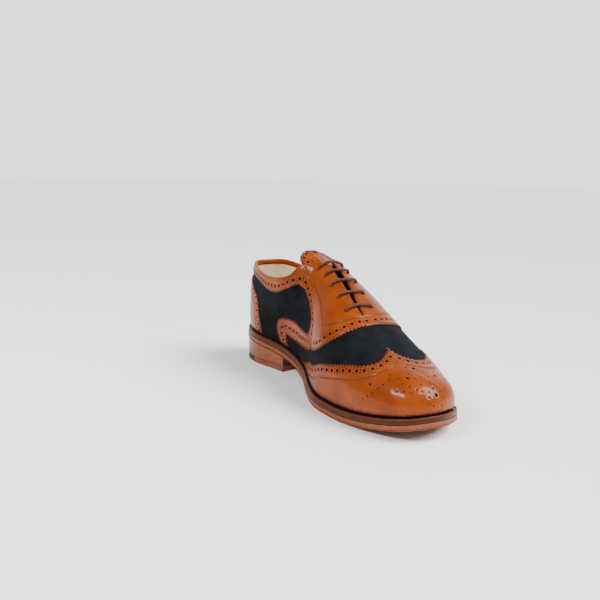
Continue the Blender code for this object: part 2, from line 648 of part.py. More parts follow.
def make_tongue():
    """Tongue under the facings, whose rounded end lies bare behind them."""
    grid = np.array([tongue_line(share, 13, 4) for share in np.linspace(-1, 1, 11)])
    normals = np.cross(np.gradient(grid, axis=0), np.gradient(grid, axis=1))
    normals /= np.linalg.norm(normals, axis=2, keepdims=True)
    index = np.arange(grid.shape[0] * grid.shape[1]).reshape(grid.shape[:2])
    quads = np.stack([index[:-1, :-1], index[1:, :-1], index[1:, 1:], index[:-1, 1:]], axis=-1).reshape(-1, 4)
    depth = LINING + TONGUE_CLEAR
    points, normals = grid.reshape(-1, 3), normals.reshape(-1, 3)
    shell("tongue", points, normals, quads.tolist(), -depth, -depth - TONGUE, "navy suede")


LACE_FRONT, LACE_BACK = 5.95, 8.80  # stations of the lowest and the highest pair of eyelets


def make_laces():
    """Straight bars of the lace across the throat, from eyelet to eyelet."""
    for number, t in enumerate(np.linspace(LACE_BACK, LACE_FRONT, LACE_BARS), 1):
        halves = []
        for side in (-1, 1):
            line = skin(side, [t - 0.1, t, t + 0.1], np.linspace(0, 1, 41))
            normal = np.cross(line[2] - line[0], np.gradient(line[1], axis=0)) * side
            normal /= np.linalg.norm(normal, axis=1, keepdims=True)
            raised = line[1] + normal * (LACE / 2 + LACE_LIFT)
            girth = np.append(0, np.cumsum(np.linalg.norm(np.diff(line[1], axis=0), axis=1)))
            opening = np.linalg.norm(crest(-1, t)[0] - crest(1, t)[0]) / 2
            marks = np.linspace(girth[-1] - LACE_SPAN / 2 + opening, girth[-1], 5)
            halves.append(np.column_stack([np.interp(marks, girth, axis) for axis in raised.T]))
        route = np.concatenate([halves[0], halves[1][::-1]])
        curve = bpy.data.curves.new(f"lace_bar_{number}", "CURVE")
        curve.dimensions = "3D"
        curve.bevel_depth = LACE / 2
        curve.bevel_resolution = 1
        curve.use_fill_caps = True
        path = curve.splines.new("POLY")
        path.points.add(len(route) - 1)
        for point, place in zip(path.points, route):
            point.co = (*place, 1)
        curve.materials.append(MATERIALS["brown waxed lace"])
        bar = bpy.data.objects.new(f"lace_bar_{number}", curve)
        bpy.context.collection.objects.link(bar)
        bar.parent = SHOE


if __name__ == "__main__":
    make_sole()
    make_heel()
    make_upper()
    make_panels()
    make_tongue()
    make_laces()
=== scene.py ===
"""Left spectator shoe, dressed over its frame: two-tone full-brogue Oxford, empty, on its sole.

Metres, +X to the toe, +Y to the outer side of the foot, +Z up. The sections follow the shoe as it is put
together, from the outsole up to the laces, and then the floor, the lights and the camera.
"""

import math

import bmesh
import bpy
import numpy as np
from mathutils import Matrix, Vector, geometry
from mathutils.bvhtree import BVHTree
from mathutils.kdtree import KDTree


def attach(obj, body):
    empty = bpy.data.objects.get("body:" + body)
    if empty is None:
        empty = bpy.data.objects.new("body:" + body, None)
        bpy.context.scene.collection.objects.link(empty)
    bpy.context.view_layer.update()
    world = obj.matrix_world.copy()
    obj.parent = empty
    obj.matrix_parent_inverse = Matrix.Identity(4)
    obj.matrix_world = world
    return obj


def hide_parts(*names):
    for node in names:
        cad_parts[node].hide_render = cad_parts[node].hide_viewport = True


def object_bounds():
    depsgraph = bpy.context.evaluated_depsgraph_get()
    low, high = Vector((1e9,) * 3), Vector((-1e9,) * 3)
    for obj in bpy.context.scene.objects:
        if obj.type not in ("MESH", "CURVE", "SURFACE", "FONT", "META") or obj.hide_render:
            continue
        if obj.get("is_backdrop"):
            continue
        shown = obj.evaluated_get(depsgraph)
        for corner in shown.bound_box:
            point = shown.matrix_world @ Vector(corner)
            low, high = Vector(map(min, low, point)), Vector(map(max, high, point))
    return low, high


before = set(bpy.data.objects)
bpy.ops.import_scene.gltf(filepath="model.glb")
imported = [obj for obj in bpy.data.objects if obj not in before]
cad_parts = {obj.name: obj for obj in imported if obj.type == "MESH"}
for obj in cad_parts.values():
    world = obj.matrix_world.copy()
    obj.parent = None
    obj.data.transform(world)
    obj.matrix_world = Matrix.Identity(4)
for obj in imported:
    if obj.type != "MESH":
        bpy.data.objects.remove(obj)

cad_box = [list(corner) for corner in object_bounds()]

# Outsole: one cut of vegetable-tanned leather, its edge trimmed, waxed tan and wheeled with fine marks.
# The forepart is ribbed under the foot, and the stitching that holds it to the welt lies in a channel
# along the underside. It curves up over the heel seat and at the toe.
LENGTH = 0.300  # heel back to toe tip
WIDTH = 0.108  # across the ball
HEEL_HEIGHT = 0.0245  # floor to outsole at the heel back
TOE_SPRING = 0.0115
OUTSOLE = 0.0048
GAP = 0.0003  # clearance between pieces
SOLE_ROUND = 0.0007
CHANNEL = 0.0088  # from the edge in to the stitched channel
CHANNEL_DEPTH = 0.0006
WHEELED = (0.0112, 0.0138)  # band of short wheel marks inside the channel
EDGE_MARKS, BAND_MARKS = 1.5, 2.6  # pitch of the marks in millimetres
RIB_PITCH = 0.0029
RIB_DEPTH = 0.00042
RIBBED = (0.735, 0.235)  # middle and half length of the ribbed oval, shares of LENGTH
WELD = 2e-6  # distance under which points of a mesh are one

# along: share of LENGTH from the heel back, then shares of WIDTH to the medial and the lateral side
OUTLINE = np.array([
    (1.000, 0.060, -0.060),
    (0.984, 0.245, 0.100),
    (0.945, 0.346, 0.250),
    (0.885, 0.411, 0.345),
    (0.805, 0.460, 0.440),
    (0.720, 0.478, 0.490),
    (0.635, 0.466, 0.500),
    (0.545, 0.382, 0.465),
    (0.460, 0.282, 0.410),
    (0.385, 0.234, 0.370),
    (0.315, 0.230, 0.342),
    (0.240, 0.262, 0.330),
    (0.155, 0.310, 0.322),
    (0.070, 0.270, 0.270),
    (0.018, 0.150, 0.150),
    (0.000, 0.000, 0.000),
])
BACK = len(OUTLINE) - 1  # station of the back seam; the toe tip is station 0

# Underside from the side: along, share of HEEL_HEIGHT, slope of that share over the length
UNDERSIDE = np.array([(0.00, 1.00, -0.64), (0.25, 0.72, -1.60), (0.64, 0.00, 0.00), (1.00, 0.00, 0.00)])
SPRING_START = 0.72
SPRING_CURVE = 1.8


def spline(rows, t):
    """Catmull-Rom curve through the rows, read at the stations t."""
    rows = np.asarray(rows, float)
    last = len(rows) - 1
    t = np.clip(np.asarray(t, float), 0, last)
    i = np.minimum(t.astype(int), last - 1)
    f = (t - i)[..., None]
    b, c = rows[i], rows[i + 1]
    a = np.where((i > 0)[..., None], rows[np.maximum(i - 1, 0)], 2 * b - c)
    d = np.where((i + 2 <= last)[..., None], rows[np.minimum(i + 2, last)], 2 * c - b)
    cubic = (2 * a - 5 * b + 4 * c - d) * f**2 + (3 * b - a - 3 * c + d) * f**3
    return 0.5 * (2 * b + (c - a) * f + cubic)


def sole_edge(side, t):
    """Outsole's edge from above at the stations t: side is -1 for medial and 1 for lateral."""
    medial, lateral = OUTLINE[:, :2] * (1, -1), OUTLINE[:, ::2]
    near, far = (medial, lateral) if side < 0 else (lateral, medial)
    rows = np.concatenate([far[2:0:-1], near, far[-2:-4:-1]])
    return spline(rows * (LENGTH, WIDTH), np.asarray(t, float) + 2)


round_trip = np.concatenate([sole_edge(side, np.linspace(0, BACK, 301)) for side in (-1, 1)])
CENTRE = (round_trip.min(axis=0) + round_trip.max(axis=0)) / 2


def inset_edge(side, t, inset):
    """The outsole's edge moved in by inset, about the shoe's origin, and the way out from it."""
    t = np.asarray(t, float)
    step = 1e-3
    along = unit(sole_edge(side, t + step) - sole_edge(side, t - step))
    outward = np.stack([along[..., 1], -along[..., 0]], axis=-1) * side
    return sole_edge(side, t) - outward * inset - CENTRE, outward


def underside(x):
    """Height of the outsole's underside over the floor."""
    share = (np.asarray(x) + CENTRE[0]) / LENGTH
    along, rise, slope = UNDERSIDE.T
    i = np.clip(np.searchsorted(along, share) - 1, 0, len(along) - 2)
    run = along[i + 1] - along[i]
    u = np.clip((share - along[i]) / run, 0, 1)
    height = rise[i] * (1 + 2 * u) * (1 - u) ** 2 + slope[i] * run * u * (1 - u) ** 2
    height += rise[i + 1] * u**2 * (3 - 2 * u) - slope[i + 1] * run * u**2 * (1 - u)
    spring = np.clip((share - SPRING_START) / (1 - SPRING_START), 0, None) ** SPRING_CURVE
    return HEEL_HEIGHT * height + TOE_SPRING * spring


def rail(side, stations, inset, height):
    """Line along the sole at an inset from its edge and a height over its underside."""
    plan = inset_edge(side, stations, inset)[0]
    return np.column_stack([plan, underside(plan[:, 0]) + height])


def slab(stations, wall, face, across, back):
    """Grid round a layer of the sole: up its medial wall, over its face, down its lateral wall and back.

    wall and face are lists of (inset, height over the underside), out from the hidden side and then in.
    """
    medial, lateral = ([rail(side, stations, *spot) for spot in wall + face] for side in (-1, 1))
    over = [medial[-1] * (1 - s) + lateral[-1] * s for s in np.linspace(0, 1, across + 2)[1:-1]]
    under = [lateral[0] * (1 - s) + medial[0] * s for s in np.linspace(0, 1, back + 2)[1:]]
    return np.stack(medial + over + lateral[::-1] + under, axis=1)


def corner(radius, height):
    """Quarter round of a layer's edge as (inset, drop), from its face to its side."""
    turns = np.radians((0, 30, 60, 90))
    return [(radius * (1 - math.sin(a)), height * (1 - math.cos(a))) for a in turns]


def grid_of(bm, points, **fields):
    """Flat grid placed on an array of points, rows by columns, with a value at each for each field."""
    rows, columns = points.shape[:2]
    layers = {name: bm.verts.layers.float.get(name) or bm.verts.layers.float.new(name) for name in fields}
    for vert in bmesh.ops.create_grid(bm, x_segments=columns - 1, y_segments=rows - 1, size=0.5)["verts"]:
        place = round((vert.co.y + 0.5) * (rows - 1)), round((vert.co.x + 0.5) * (columns - 1))
        vert.co = points[place]
        for name, layer in layers.items():
            vert[layer] = float(fields[name][place])


def walked(points):
    """Length along a line at each of its points."""
    return np.append(0, np.cumsum(np.linalg.norm(np.diff(points, axis=0), axis=1)))


def unit(vectors):
    """Vectors brought to a length of one."""
    return vectors / np.maximum(np.linalg.norm(vectors, axis=-1, keepdims=True), 1e-12)


def piece(name, bm, material, replaces=(), sharp=40):
    """Object of a mesh in the making, with its doubles merged and its faces turned out."""
    bmesh.ops.remove_doubles(bm, verts=bm.verts, dist=WELD)
    bmesh.ops.recalc_face_normals(bm, faces=bm.faces)
    mesh = bpy.data.meshes.new(name)
    bm.to_mesh(mesh)
    bm.free()
    return dressed(name, mesh, material, replaces, sharp)


def dressed(name, mesh, material, replaces=(), sharp=40):
    """Object of a mesh, shaded smooth but for its sharp edges, in the place of the solids it replaces."""
    mesh.shade_smooth()
    mesh.set_sharp_from_angle(angle=math.radians(sharp))
    mesh.materials.append(material)
    obj = bpy.data.objects.new(name, mesh)
    bpy.context.collection.objects.link(obj)
    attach(obj, "root")
    if replaces:
        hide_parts(*replaces)
    return obj


def linear(code):
    """Linear colour of an sRGB hex value."""
    channels = [int(code[i : i + 2], 16) / 255 for i in (1, 3, 5)]
    return (*[c / 12.92 if c <= 0.04045 else ((c + 0.055) / 1.055) ** 2.4 for c in channels], 1.0)


def add(tree, kind, settings, inputs):
    """Node with its settings, and its inputs set or linked. The stops of a ramp are (place, colour)."""
    node = tree.nodes.new("ShaderNode" + kind)
    for name, value in settings.items():
        if name != "stops":
            setattr(node, name, value)
            continue
        for place, _ in value[2:]:
            node.color_ramp.elements.new(place)
        for element, (place, colour) in zip(node.color_ramp.elements, value):
            element.position, element.color = place, linear(colour)
    for name, value in inputs.items():
        if isinstance(value, bpy.types.NodeSocket):
            tree.links.new(value, node.inputs[name])
        else:
            node.inputs[name].default_value = value
    return node


def finish(name, **settings):
    """Material of one shader: the material, its tree, its shader and the place of each point on the shoe."""
    material = bpy.data.materials.new(name)
    material.use_nodes = True
    tree = material.node_tree
    shader = tree.nodes["Principled BSDF"]
    for socket, value in settings.items():
        shader.inputs[socket.replace("_", " ")].default_value = value
    return material, tree, shader, add(tree, "TexCoord", {}, {}).outputs["Object"]


def connect(tree, shader, **sources):
    """Links what feeds the shader's sockets, each named with _ for its spaces."""
    for socket, source in sources.items():
        tree.links.new(source, shader.inputs[socket.replace("_", " ")])


def per_mm(size):
    """Scale of a pattern whose features measure size in millimetres."""
    return 1000 / size


# Oak-bark leather, cut across its fibres at the edge and buffed on the face: the wax leaves it a satin
# tan, darker round the rim of the sole, with short fibre streaks along its length.
sole_leather, tree, shader, place = finish(
    "waxed oak-bark sole leather", Roughness=0.42, Specular_IOR_Level=0.35
)
stretch = add(tree, "Mapping", {}, {"Vector": place, "Scale": (0.25, 1.0, 2.0)}).outputs[0]
fibre = add(tree, "TexNoise", {}, {"Vector": stretch, "Scale": per_mm(2.2), "Detail": 5.0}).outputs[0]
tan = add(tree, "ValToRGB", {"stops": [(0.30, "#6E3210"), (0.72, "#904A1E")]}, {"Fac": fibre}).outputs[0]
rib = add(tree, "Attribute", {"attribute_name": "rib"}, {}).outputs["Fac"]
wheeled = add(tree, "Attribute", {"attribute_name": "wheeled"}, {}).outputs["Fac"]
rim = add(tree, "Attribute", {"attribute_name": "rim"}, {}).outputs["Fac"]
deep = add(tree, "Mix", {"data_type": "RGBA"}, {0: rim, 6: tan, 7: linear("#6A2E10")}).outputs[2]
# Painted shade: the grooves between the ribs are darkened, as if shade lay in them.
deep = add(tree, "Mix", {"data_type": "RGBA"}, {0: rib, 6: deep, 7: linear("#4A200C")}).outputs[2]
around = add(tree, "Attribute", {"attribute_name": "around"}, {}).outputs["Fac"]
pitch = 2 * math.pi * per_mm(EDGE_MARKS)
turns = add(tree, "Math", {"operation": "MULTIPLY"}, {0: around, 1: pitch}).outputs[0]
wheel = add(tree, "Math", {"operation": "SINE"}, {0: turns}).outputs[0]
marks = add(tree, "Math", {"operation": "MULTIPLY"}, {0: wheel, 1: wheeled}).outputs[0]
marked = add(tree, "Math", {"operation": "MULTIPLY_ADD"}, {0: marks, 1: 0.5, 2: fibre}).outputs[0]
# Painted highlight and shade: the wheel marks are coloured lighter on their ridges and darker in their
# grooves, over their bump.
span = {"Value": marks, "From Min": -1.0, "From Max": 1.0, "To Min": 0.6, "To Max": 1.15}
shade = add(tree, "MapRange", {}, span).outputs[0]
darken = {"data_type": "RGBA", "blend_type": "MULTIPLY"}
wheel_light_and_shade = add(tree, "Mix", darken, {0: wheeled, 6: deep, 7: shade})
bump = add(tree, "Bump", {}, {"Height": marked, "Distance": 0.00012, "Strength": 0.6})
connect(tree, shader, Base_Color=wheel_light_and_shade.outputs[2], Normal=bump.outputs[0])

stations = np.unique(np.concatenate([np.linspace(0, 7, 351), np.linspace(7, BACK, 161)]))
top_round = [(inset, OUTSOLE - drop) for inset, drop in corner(SOLE_ROUND, SOLE_ROUND)]
foot_round = [(SOLE_ROUND - drop, SOLE_ROUND - inset) for inset, drop in corner(SOLE_ROUND, SOLE_ROUND)]
wall = top_round + foot_round
face = [(inset, 0.0) for inset in (0.003, CHANNEL - 0.0008)]
face += [(CHANNEL, CHANNEL_DEPTH), (CHANNEL + 0.0008, 0.0), (WHEELED[0] - 0.0008, 0.0)]
face += [(WHEELED[0], 0.00015), (WHEELED[1], 0.00015), (WHEELED[1] + 0.0010, 0.0)]
ACROSS = 36
shape = slab(stations, wall, face, ACROSS, 4)
ribs = slice(len(wall) + len(face), len(wall) + len(face) + ACROSS)
x, y = shape[:, ribs, 0], shape[:, ribs, 1]
middle = (shape[:, ribs.start - 1, 1] + shape[:, ribs.stop, 1])[:, None] / 2
half = np.maximum(np.abs(shape[:, ribs.start - 1, 1] - shape[:, ribs.stop, 1])[:, None] / 2, 1e-6)
oval = 1 - ((x + CENTRE[0] - RIBBED[0] * LENGTH) / (RIBBED[1] * LENGTH)) ** 2
oval -= (np.abs(y - middle) / half) ** 4
wave = 0.5 - 0.5 * np.cos(2 * np.pi * x / RIB_PITCH)
wave *= np.clip(oval * 6, 0, 1)
shape[:, ribs, 2] += RIB_DEPTH * wave
# How much painted shade lies in each rib groove, strongest at its bottom.
rib = np.zeros(shape.shape[:2])
rib[:, ribs] = 0.8 * wave
columns = shape.shape[1]
edges = np.zeros(columns)
edges[: len(wall)] = edges[-5 - len(wall) : -4] = 1
bands = np.zeros(columns)
bands[[ribs.start - 3, ribs.start - 2, ribs.stop + 1, ribs.stop + 2]] = 1
rims = np.ones(columns)
rims[ribs] = 0.0
length = walked(shape[:, 4])
around = length[:, None] * np.where(bands > 0, EDGE_MARKS / BAND_MARKS, 1.0)
wheeled = np.broadcast_to(edges + bands, shape.shape[:2])
rims = np.broadcast_to(rims * (1 - edges), shape.shape[:2])
bm = bmesh.new()
grid_of(bm, shape, wheeled=wheeled, rim=rims, rib=rib, around=around)
piece("outsole_leather", bm, sole_leather, ["outsole"], sharp=50)


# Stitches: waxed thread, drawn tight in the channel under the sole and pulled into the leather. Each one
# is a small grain of thread, and the whole row is one mesh.
def route(points, spacing):
    """Points at an even spacing along a line, with whatever else its rows hold there."""
    length = walked(points[:, :3])
    count = max(2, int(round(length[-1] / spacing)) + 1)
    marks = np.linspace(0, length[-1], count)
    return np.column_stack([np.interp(marks, length, axis) for axis in points.T])


def stitches(name, lines, pitch, length, thick, lift, material, slot):
    """Row of stitches along each line, an array of points and the normals there."""
    bm = bmesh.new()
    bmesh.ops.create_uvsphere(bm, u_segments=6, v_segments=4, radius=0.5)
    bm.verts.ensure_lookup_table()
    grain = np.array([vert.co for vert in bm.verts])
    faces = [[vert.index for vert in face.verts] for face in bm.faces]
    bm.free()
    places, quads = [], []
    for points, normals in lines:
        row = route(np.hstack([points, normals]), pitch)
        ahead = unit(np.gradient(row[:, :3], axis=0))
        up = unit(row[:, 3:])
        side = np.cross(up, ahead)
        for centre, *axes in zip(row[:, :3] + up * lift, ahead * length, side * thick, up * thick):
            quads += [[corner + len(grain) * len(places) for corner in face] for face in faces]
            places.append(centre + grain @ np.array(axes))
    mesh = bpy.data.meshes.new(name)
    mesh.from_pydata(np.concatenate(places).tolist(), [], quads)
    return dressed(name, mesh, material, sharp=60)


# Linen thread drawn through wax: a dull sheen, a little lighter than the leather that it sinks into.
sole_thread = finish("waxed linen thread", Roughness=0.6, Base_Color=linear("#9A7A4E"))[0]
stations = np.linspace(0.02, 11.4, 700)
rows = []
for side in (-1, 1):
    row = rail(side, stations, CHANNEL, CHANNEL_DEPTH)
    rows.append((row, np.tile((0.0, 0.0, -1.0), (len(row), 1))))
stitches("outsole_stitches", rows, 0.0038, 0.0029, 0.0011, 0.0, sole_thread, "sole_leather")

# Label place: a bare cream plate let into the waist, held by two brass pins.
LABEL = (0.0090, 0.0300)  # along the sole and across it
LABEL_AT = 0.335  # share of LENGTH
enamel = finish("cream lacquered label plate", Roughness=0.35, Base_Color=linear("#D9CDB0"))[0]
brass = finish("polished brass pin", Metallic=1.0, Roughness=0.25, Base_Color=linear("#C9A24C"))[0]
spot = LABEL_AT * LENGTH - CENTRE[0]
slope = math.atan2(float(underside(spot + 0.004) - underside(spot - 0.004)), 0.008)
middle_y = float(rail(-1, [10.0], 0, 0)[0, 1] + rail(1, [10.0], 0, 0)[0, 1]) / 2
seat = Matrix.Translation((spot, middle_y, float(underside(spot)) - 0.0001)) @ Matrix.Rotation(-slope, 4, "Y")
bm = bmesh.new()
bmesh.ops.create_cube(bm, size=1.0, matrix=seat @ Matrix.Diagonal((LABEL[0], LABEL[1], 0.0006, 1)))
bmesh.ops.bevel(bm, geom=bm.edges[:], offset=0.00015, segments=2, profile=0.5, affect="EDGES", material=-1)
piece("label_plate", bm, enamel)
bm = bmesh.new()
for side in (-1, 1):
    head = seat @ Matrix.Translation((0, side * 0.0135, -0.0003)) @ Matrix.Diagonal((1, 1, 0.5, 1))
    bmesh.ops.create_uvsphere(bm, u_segments=16, v_segments=8, radius=0.0011, matrix=head)
piece("label_pins", bm, brass)

# Welt: a strip of leather round the whole shoe, its edge set a step inside the outsole's, burnished dark
# and waxed. A bead runs along its rim, painted lighter along its rounded top as a painted highlight, and the
# stitches that hold the outsole stand in a groove.
WELT = 0.0044
WELT_WIDTH = 0.0110
WELT_STEP = 0.0006
WELT_FOOT = OUTSOLE + GAP
WELT_TOP = WELT_FOOT + WELT
UPPER_FOOT = WELT_TOP + GAP
WELT_STITCH = 0.00185  # from the outsole's edge in to the stitches
dark_welt, tree, shader, place = finish(
    "dark burnished welt leather",
    Roughness=0.40,
    Specular_IOR_Level=0.12,
    Coat_Weight=0.08,
    Coat_Roughness=0.18,
)
noise = add(tree, "TexNoise", {}, {"Vector": place, "Scale": per_mm(3.0), "Detail": 4.0}).outputs[0]
brown = add(tree, "ValToRGB", {"stops": [(0.30, "#200A03"), (0.75, "#3E1607")]}, {"Fac": noise}).outputs[0]
# Painted highlight: the bead's rounded top is coloured lighter.
bead = add(tree, "Attribute", {"attribute_name": "bead"}, {}).outputs["Fac"]
bead_lit = add(tree, "Mix", {"data_type": "RGBA"}, {0: bead, 6: brown, 7: linear("#5C2A12")}).outputs[2]
bump = add(tree, "Bump", {}, {"Height": noise, "Distance": 0.00010, "Strength": 0.5})
connect(tree, shader, Base_Color=bead_lit, Normal=bump.outputs[0])

stations = np.linspace(0, BACK, 481)
# Each point: inset from the outsole's edge, height over the underside, and how much painted highlight lies
# there.
profile = [
    (WELT_WIDTH, WELT_FOOT, 0.0),
    (WELT_STEP, WELT_FOOT, 0.1),
    (WELT_STEP - 0.0002, WELT_FOOT + 0.0012, 0.5),
    (WELT_STEP + 0.0001, WELT_FOOT + 0.0021, 0.0),
    (WELT_STEP - 0.0001, WELT_FOOT + 0.0031, 0.4),
    (WELT_STEP + 0.0001, WELT_TOP - 0.0004, 0.9),
    (WELT_STEP + 0.0004, WELT_TOP + 0.0001, 1.0),
    (WELT_STEP + 0.0008, WELT_TOP - 0.0001, 0.6),
    (WELT_STITCH - 0.0002, WELT_TOP - 0.0006, 0.0),
    (WELT_STITCH + 0.0004, WELT_TOP - 0.0005, 0.0),
    (0.0030, WELT_TOP, 0.0),
    (0.0050, WELT_TOP, 0.0),
    (WELT_WIDTH, WELT_TOP, 0.0),
    (WELT_WIDTH, WELT_FOOT, 0.0),
]
bm = bmesh.new()
for side in (-1, 1):
    band = np.stack([rail(side, stations, inset, height) for inset, height, _ in profile], axis=1)
    bead_highlights = np.array([value for _, _, value in profile])
    grid_of(bm, band, bead=np.broadcast_to(bead_highlights, band.shape[:2]))
piece("welt_strip", bm, dark_welt, ["welt"], sharp=60)
welt_thread = finish("brown waxed welt thread", Roughness=0.5, Base_Color=linear("#5B3521"))[0]
rows = []
for side in (-1, 1):
    row = rail(side, np.linspace(0.01, BACK - 0.01, 800), WELT_STITCH, WELT_TOP - 0.0003)
    rows.append((row, np.tile((0.0, 0.0, 1.0), (len(row), 1))))
stitches("welt_stitches", rows, 0.0031, 0.0024, 0.0008, 0.0, welt_thread, "welt_leather")

# Heel: lifts of stacked leather glued and pegged under the outsole, sanded to one wall and waxed, with the
# lines between the lifts and their fibres showing. The back and the breast are painted darker, a painted
# shade where they turn from the light, and the top lift is stained red.
TOP_PIECE = 0.0060
BREAST = 0.296
BREAST_HOLLOW = 0.0060
HEEL_TAPER = 0.0012
RUBBER_FRONT = 0.125
RUBBER_SLANT = 0.0120
LIFT = 0.0042  # thickness of one lift
LIFT_LINE = 0.00012
BREAST_STEPS = 23  # points across the hollow breast


def station_at(side, along, inset):
    """Station on the hind part of the shoe where the sole's edge is at a share of the length."""
    stations = np.linspace(BACK - 6, BACK, 601)
    x = inset_edge(side, stations, inset)[0][:, 0]
    return np.interp(-(along * LENGTH - CENTRE[0]), -x, stations)


def heel_ring(inset, front, back, hollow, count=45):
    """Plan of the heel, anticlockwise, from the station at front on either side to that at back."""
    halves = []
    for side in (1, -1):
        first = station_at(side, front[side], inset)
        last = BACK if back is None else station_at(side, back[side], inset)
        halves.append(inset_edge(side, np.linspace(first, last, count), inset)[0])
    lateral, medial = halves
    plan = [lateral, medial[::-1] if back is not None else medial[-2::-1]]
    u = np.linspace(-1, 1, BREAST_STEPS + 2)[1:-1, None]
    line = (medial[0] * (1 - u) + lateral[0] * (1 + u)) / 2
    plan.append(line - (1 - u**2) * (hollow, 0))
    return np.concatenate(plan + [lateral[:1]])


def block(rings, **fields):
    """Mesh of a solid through closed rings, its first and last ring filled, with values at its points."""
    bm = bmesh.new()
    grid_of(bm, rings, **fields)
    bmesh.ops.remove_doubles(bm, verts=bm.verts, dist=WELD)
    bmesh.ops.holes_fill(bm, edges=[edge for edge in bm.edges if edge.is_boundary], sides=0)
    return bm


stacked, tree, shader, place = finish(
    "stacked heel leather", Roughness=0.36, Specular_IOR_Level=0.25, Coat_Weight=0.25, Coat_Roughness=0.25
)
stretch = add(tree, "Mapping", {}, {"Vector": place, "Scale": (0.12, 0.12, 1.0)}).outputs[0]
streak = add(tree, "TexNoise", {}, {"Vector": stretch, "Scale": per_mm(0.9), "Detail": 4.0}).outputs[0]
stops = [(0.28, "#5E2E0E"), (0.55, "#7E4818"), (0.78, "#905A24")]
wood = add(tree, "ValToRGB", {"stops": stops}, {"Fac": streak}).outputs[0]
x = add(tree, "SeparateXYZ", {}, {"Vector": place}).outputs[0]
# Painted shade: the back curve of the heel, where it turns away from the light, is mixed toward a duller,
# darker brown.
behind = add(tree, "MapRange", {}, {"Value": x, "From Min": -0.128, "From Max": -0.146}).outputs[0]
back_shaded = add(tree, "Mix", {"data_type": "RGBA"}, {0: behind, 6: wood, 7: linear("#6E4630")})
# Painted shade: the hollow breast, under the waist of the sole, is coloured near black.
front = add(tree, "Attribute", {"attribute_name": "front"}, {}).outputs["Fac"]
breast_shaded = add(tree, "Mix", {"data_type": "RGBA"}, {0: front, 6: back_shaded.outputs[2], 7: linear("#3A1E14")})
line = add(tree, "Attribute", {"attribute_name": "line"}, {}).outputs["Fac"]
stained = add(tree, "Mix", {"data_type": "RGBA"}, {0: line, 6: breast_shaded.outputs[2], 7: linear("#7A3418")})
bump = add(tree, "Bump", {}, {"Height": streak, "Distance": 0.00008, "Strength": 0.5})
connect(tree, shader, Base_Color=stained.outputs[2], Normal=bump.outputs[0])

front = {-1: BREAST, 1: BREAST}
rings, lines = [], []
low = TOP_PIECE + GAP
seat_plan = heel_ring(WELT_STEP, front, None, BREAST_HOLLOW)
highest = float(underside(seat_plan[:, 0]).max()) - GAP
levels = 4 * int(round((highest - low) / LIFT))
for k in range(levels + 1):
    share = k / levels
    notch = 1.0 if k % 4 == 0 and 0 < k < levels else 0.0
    inset = HEEL_TAPER + (WELT_STEP - HEEL_TAPER) * share + LIFT_LINE * notch
    plan = heel_ring(inset, front, None, BREAST_HOLLOW)
    top = underside(plan[:, 0]) - GAP
    rings.append(np.column_stack([plan, low + (top - low) * share]))
    lines.append(np.full(len(plan), max(0.55 * notch, 0.85 * (share > 0.9))))
# Where the painted shade of the breast lies: its points across the hollow.
breast_shade_mask = np.zeros((len(rings), len(rings[0])))
breast_shade_mask[:, -BREAST_STEPS - 1 : -1] = 1.0
bm = block(np.stack(rings), line=np.stack(lines), front=breast_shade_mask)
piece("heel_lifts", bm, stacked, ["heel_stack"], sharp=45)

# Top piece: the wearing layer of the heel, leather in front and a quarter of rubber behind, nailed on
# from below. Its rim is trimmed with the heel and stained russet.
russet, tree, shader, place = finish("russet stained top-piece leather", Roughness=0.4)
noise = add(tree, "TexNoise", {}, {"Vector": place, "Scale": per_mm(1.6), "Detail": 5.0}).outputs[0]
rim_red = add(tree, "ValToRGB", {"stops": [(0.3, "#5E2210"), (0.7, "#8A3E1C")]}, {"Fac": noise}).outputs[0]
tread = add(tree, "ValToRGB", {"stops": [(0.3, "#8A5028"), (0.7, "#A66A3C")]}, {"Fac": noise}).outputs[0]
z = add(tree, "SeparateXYZ", {}, {"Vector": place}).outputs[2]
down = add(tree, "MapRange", {}, {"Value": z, "From Min": 0.0006, "From Max": 0.0002}).outputs[0]
both = add(tree, "Mix", {"data_type": "RGBA"}, {0: down, 6: rim_red, 7: tread}).outputs[2]
bump = add(tree, "Bump", {}, {"Height": noise, "Distance": 0.00008, "Strength": 0.5})
connect(tree, shader, Base_Color=both, Normal=bump.outputs[0])
rubber, tree, shader, place = finish("moulded black rubber", Roughness=0.62)
noise = add(tree, "TexNoise", {}, {"Vector": place, "Scale": per_mm(0.5), "Detail": 2.0}).outputs[0]
black = add(tree, "ValToRGB", {"stops": [(0.3, "#141414"), (0.7, "#232220")]}, {"Fac": noise}).outputs[0]
bump = add(tree, "Bump", {}, {"Height": noise, "Distance": 0.00005, "Strength": 0.4})
connect(tree, shader, Base_Color=black, Normal=bump.outputs[0])

slant = RUBBER_SLANT / LENGTH / 2
split = {-1: RUBBER_FRONT + slant, 1: RUBBER_FRONT - slant}
behind = {side: share - GAP / LENGTH for side, share in split.items()}
for name, material, slot, node, spans in (
    ("top_piece_front", russet, "top_piece_leather", "heel_top_leather", (front, split, BREAST_HOLLOW)),
    ("top_piece_quarter", rubber, "top_piece_rubber", "heel_top_rubber", (behind, None, 0.0)),
):
    rings = []
    for more, height in ((0.0004, 0.0), (0.0, 0.0004), (0.0, TOP_PIECE - 0.0003), (0.0003, TOP_PIECE)):
        plan = heel_ring(HEEL_TAPER + more, *spans)
        rings.append(np.column_stack([plan, np.full(len(plan), height)]))
    piece(name, block(np.stack(rings)), material, [node], sharp=45)

# Upper: navy suede, lasted over the foot's form and drawn in under the welt. CREST is the line that it
# ends on, along the instep and round the collar, and the wall between it and the sole is one curve.
INSTEP = 0.118  # height of the instep, the unit of every height of the crest
WALL = 0.0018
OVERLAY = 0.0010
REACH = 0.0028  # from the outsole's edge in to the upper
THROAT_GAP = 0.0080
THROAT_FOOT = 5.50
THROAT_TOP = 9.0
COLLAR_ROUND = 0.32
BASE = OVERLAY + 2 * GAP
LINING = BASE + WALL

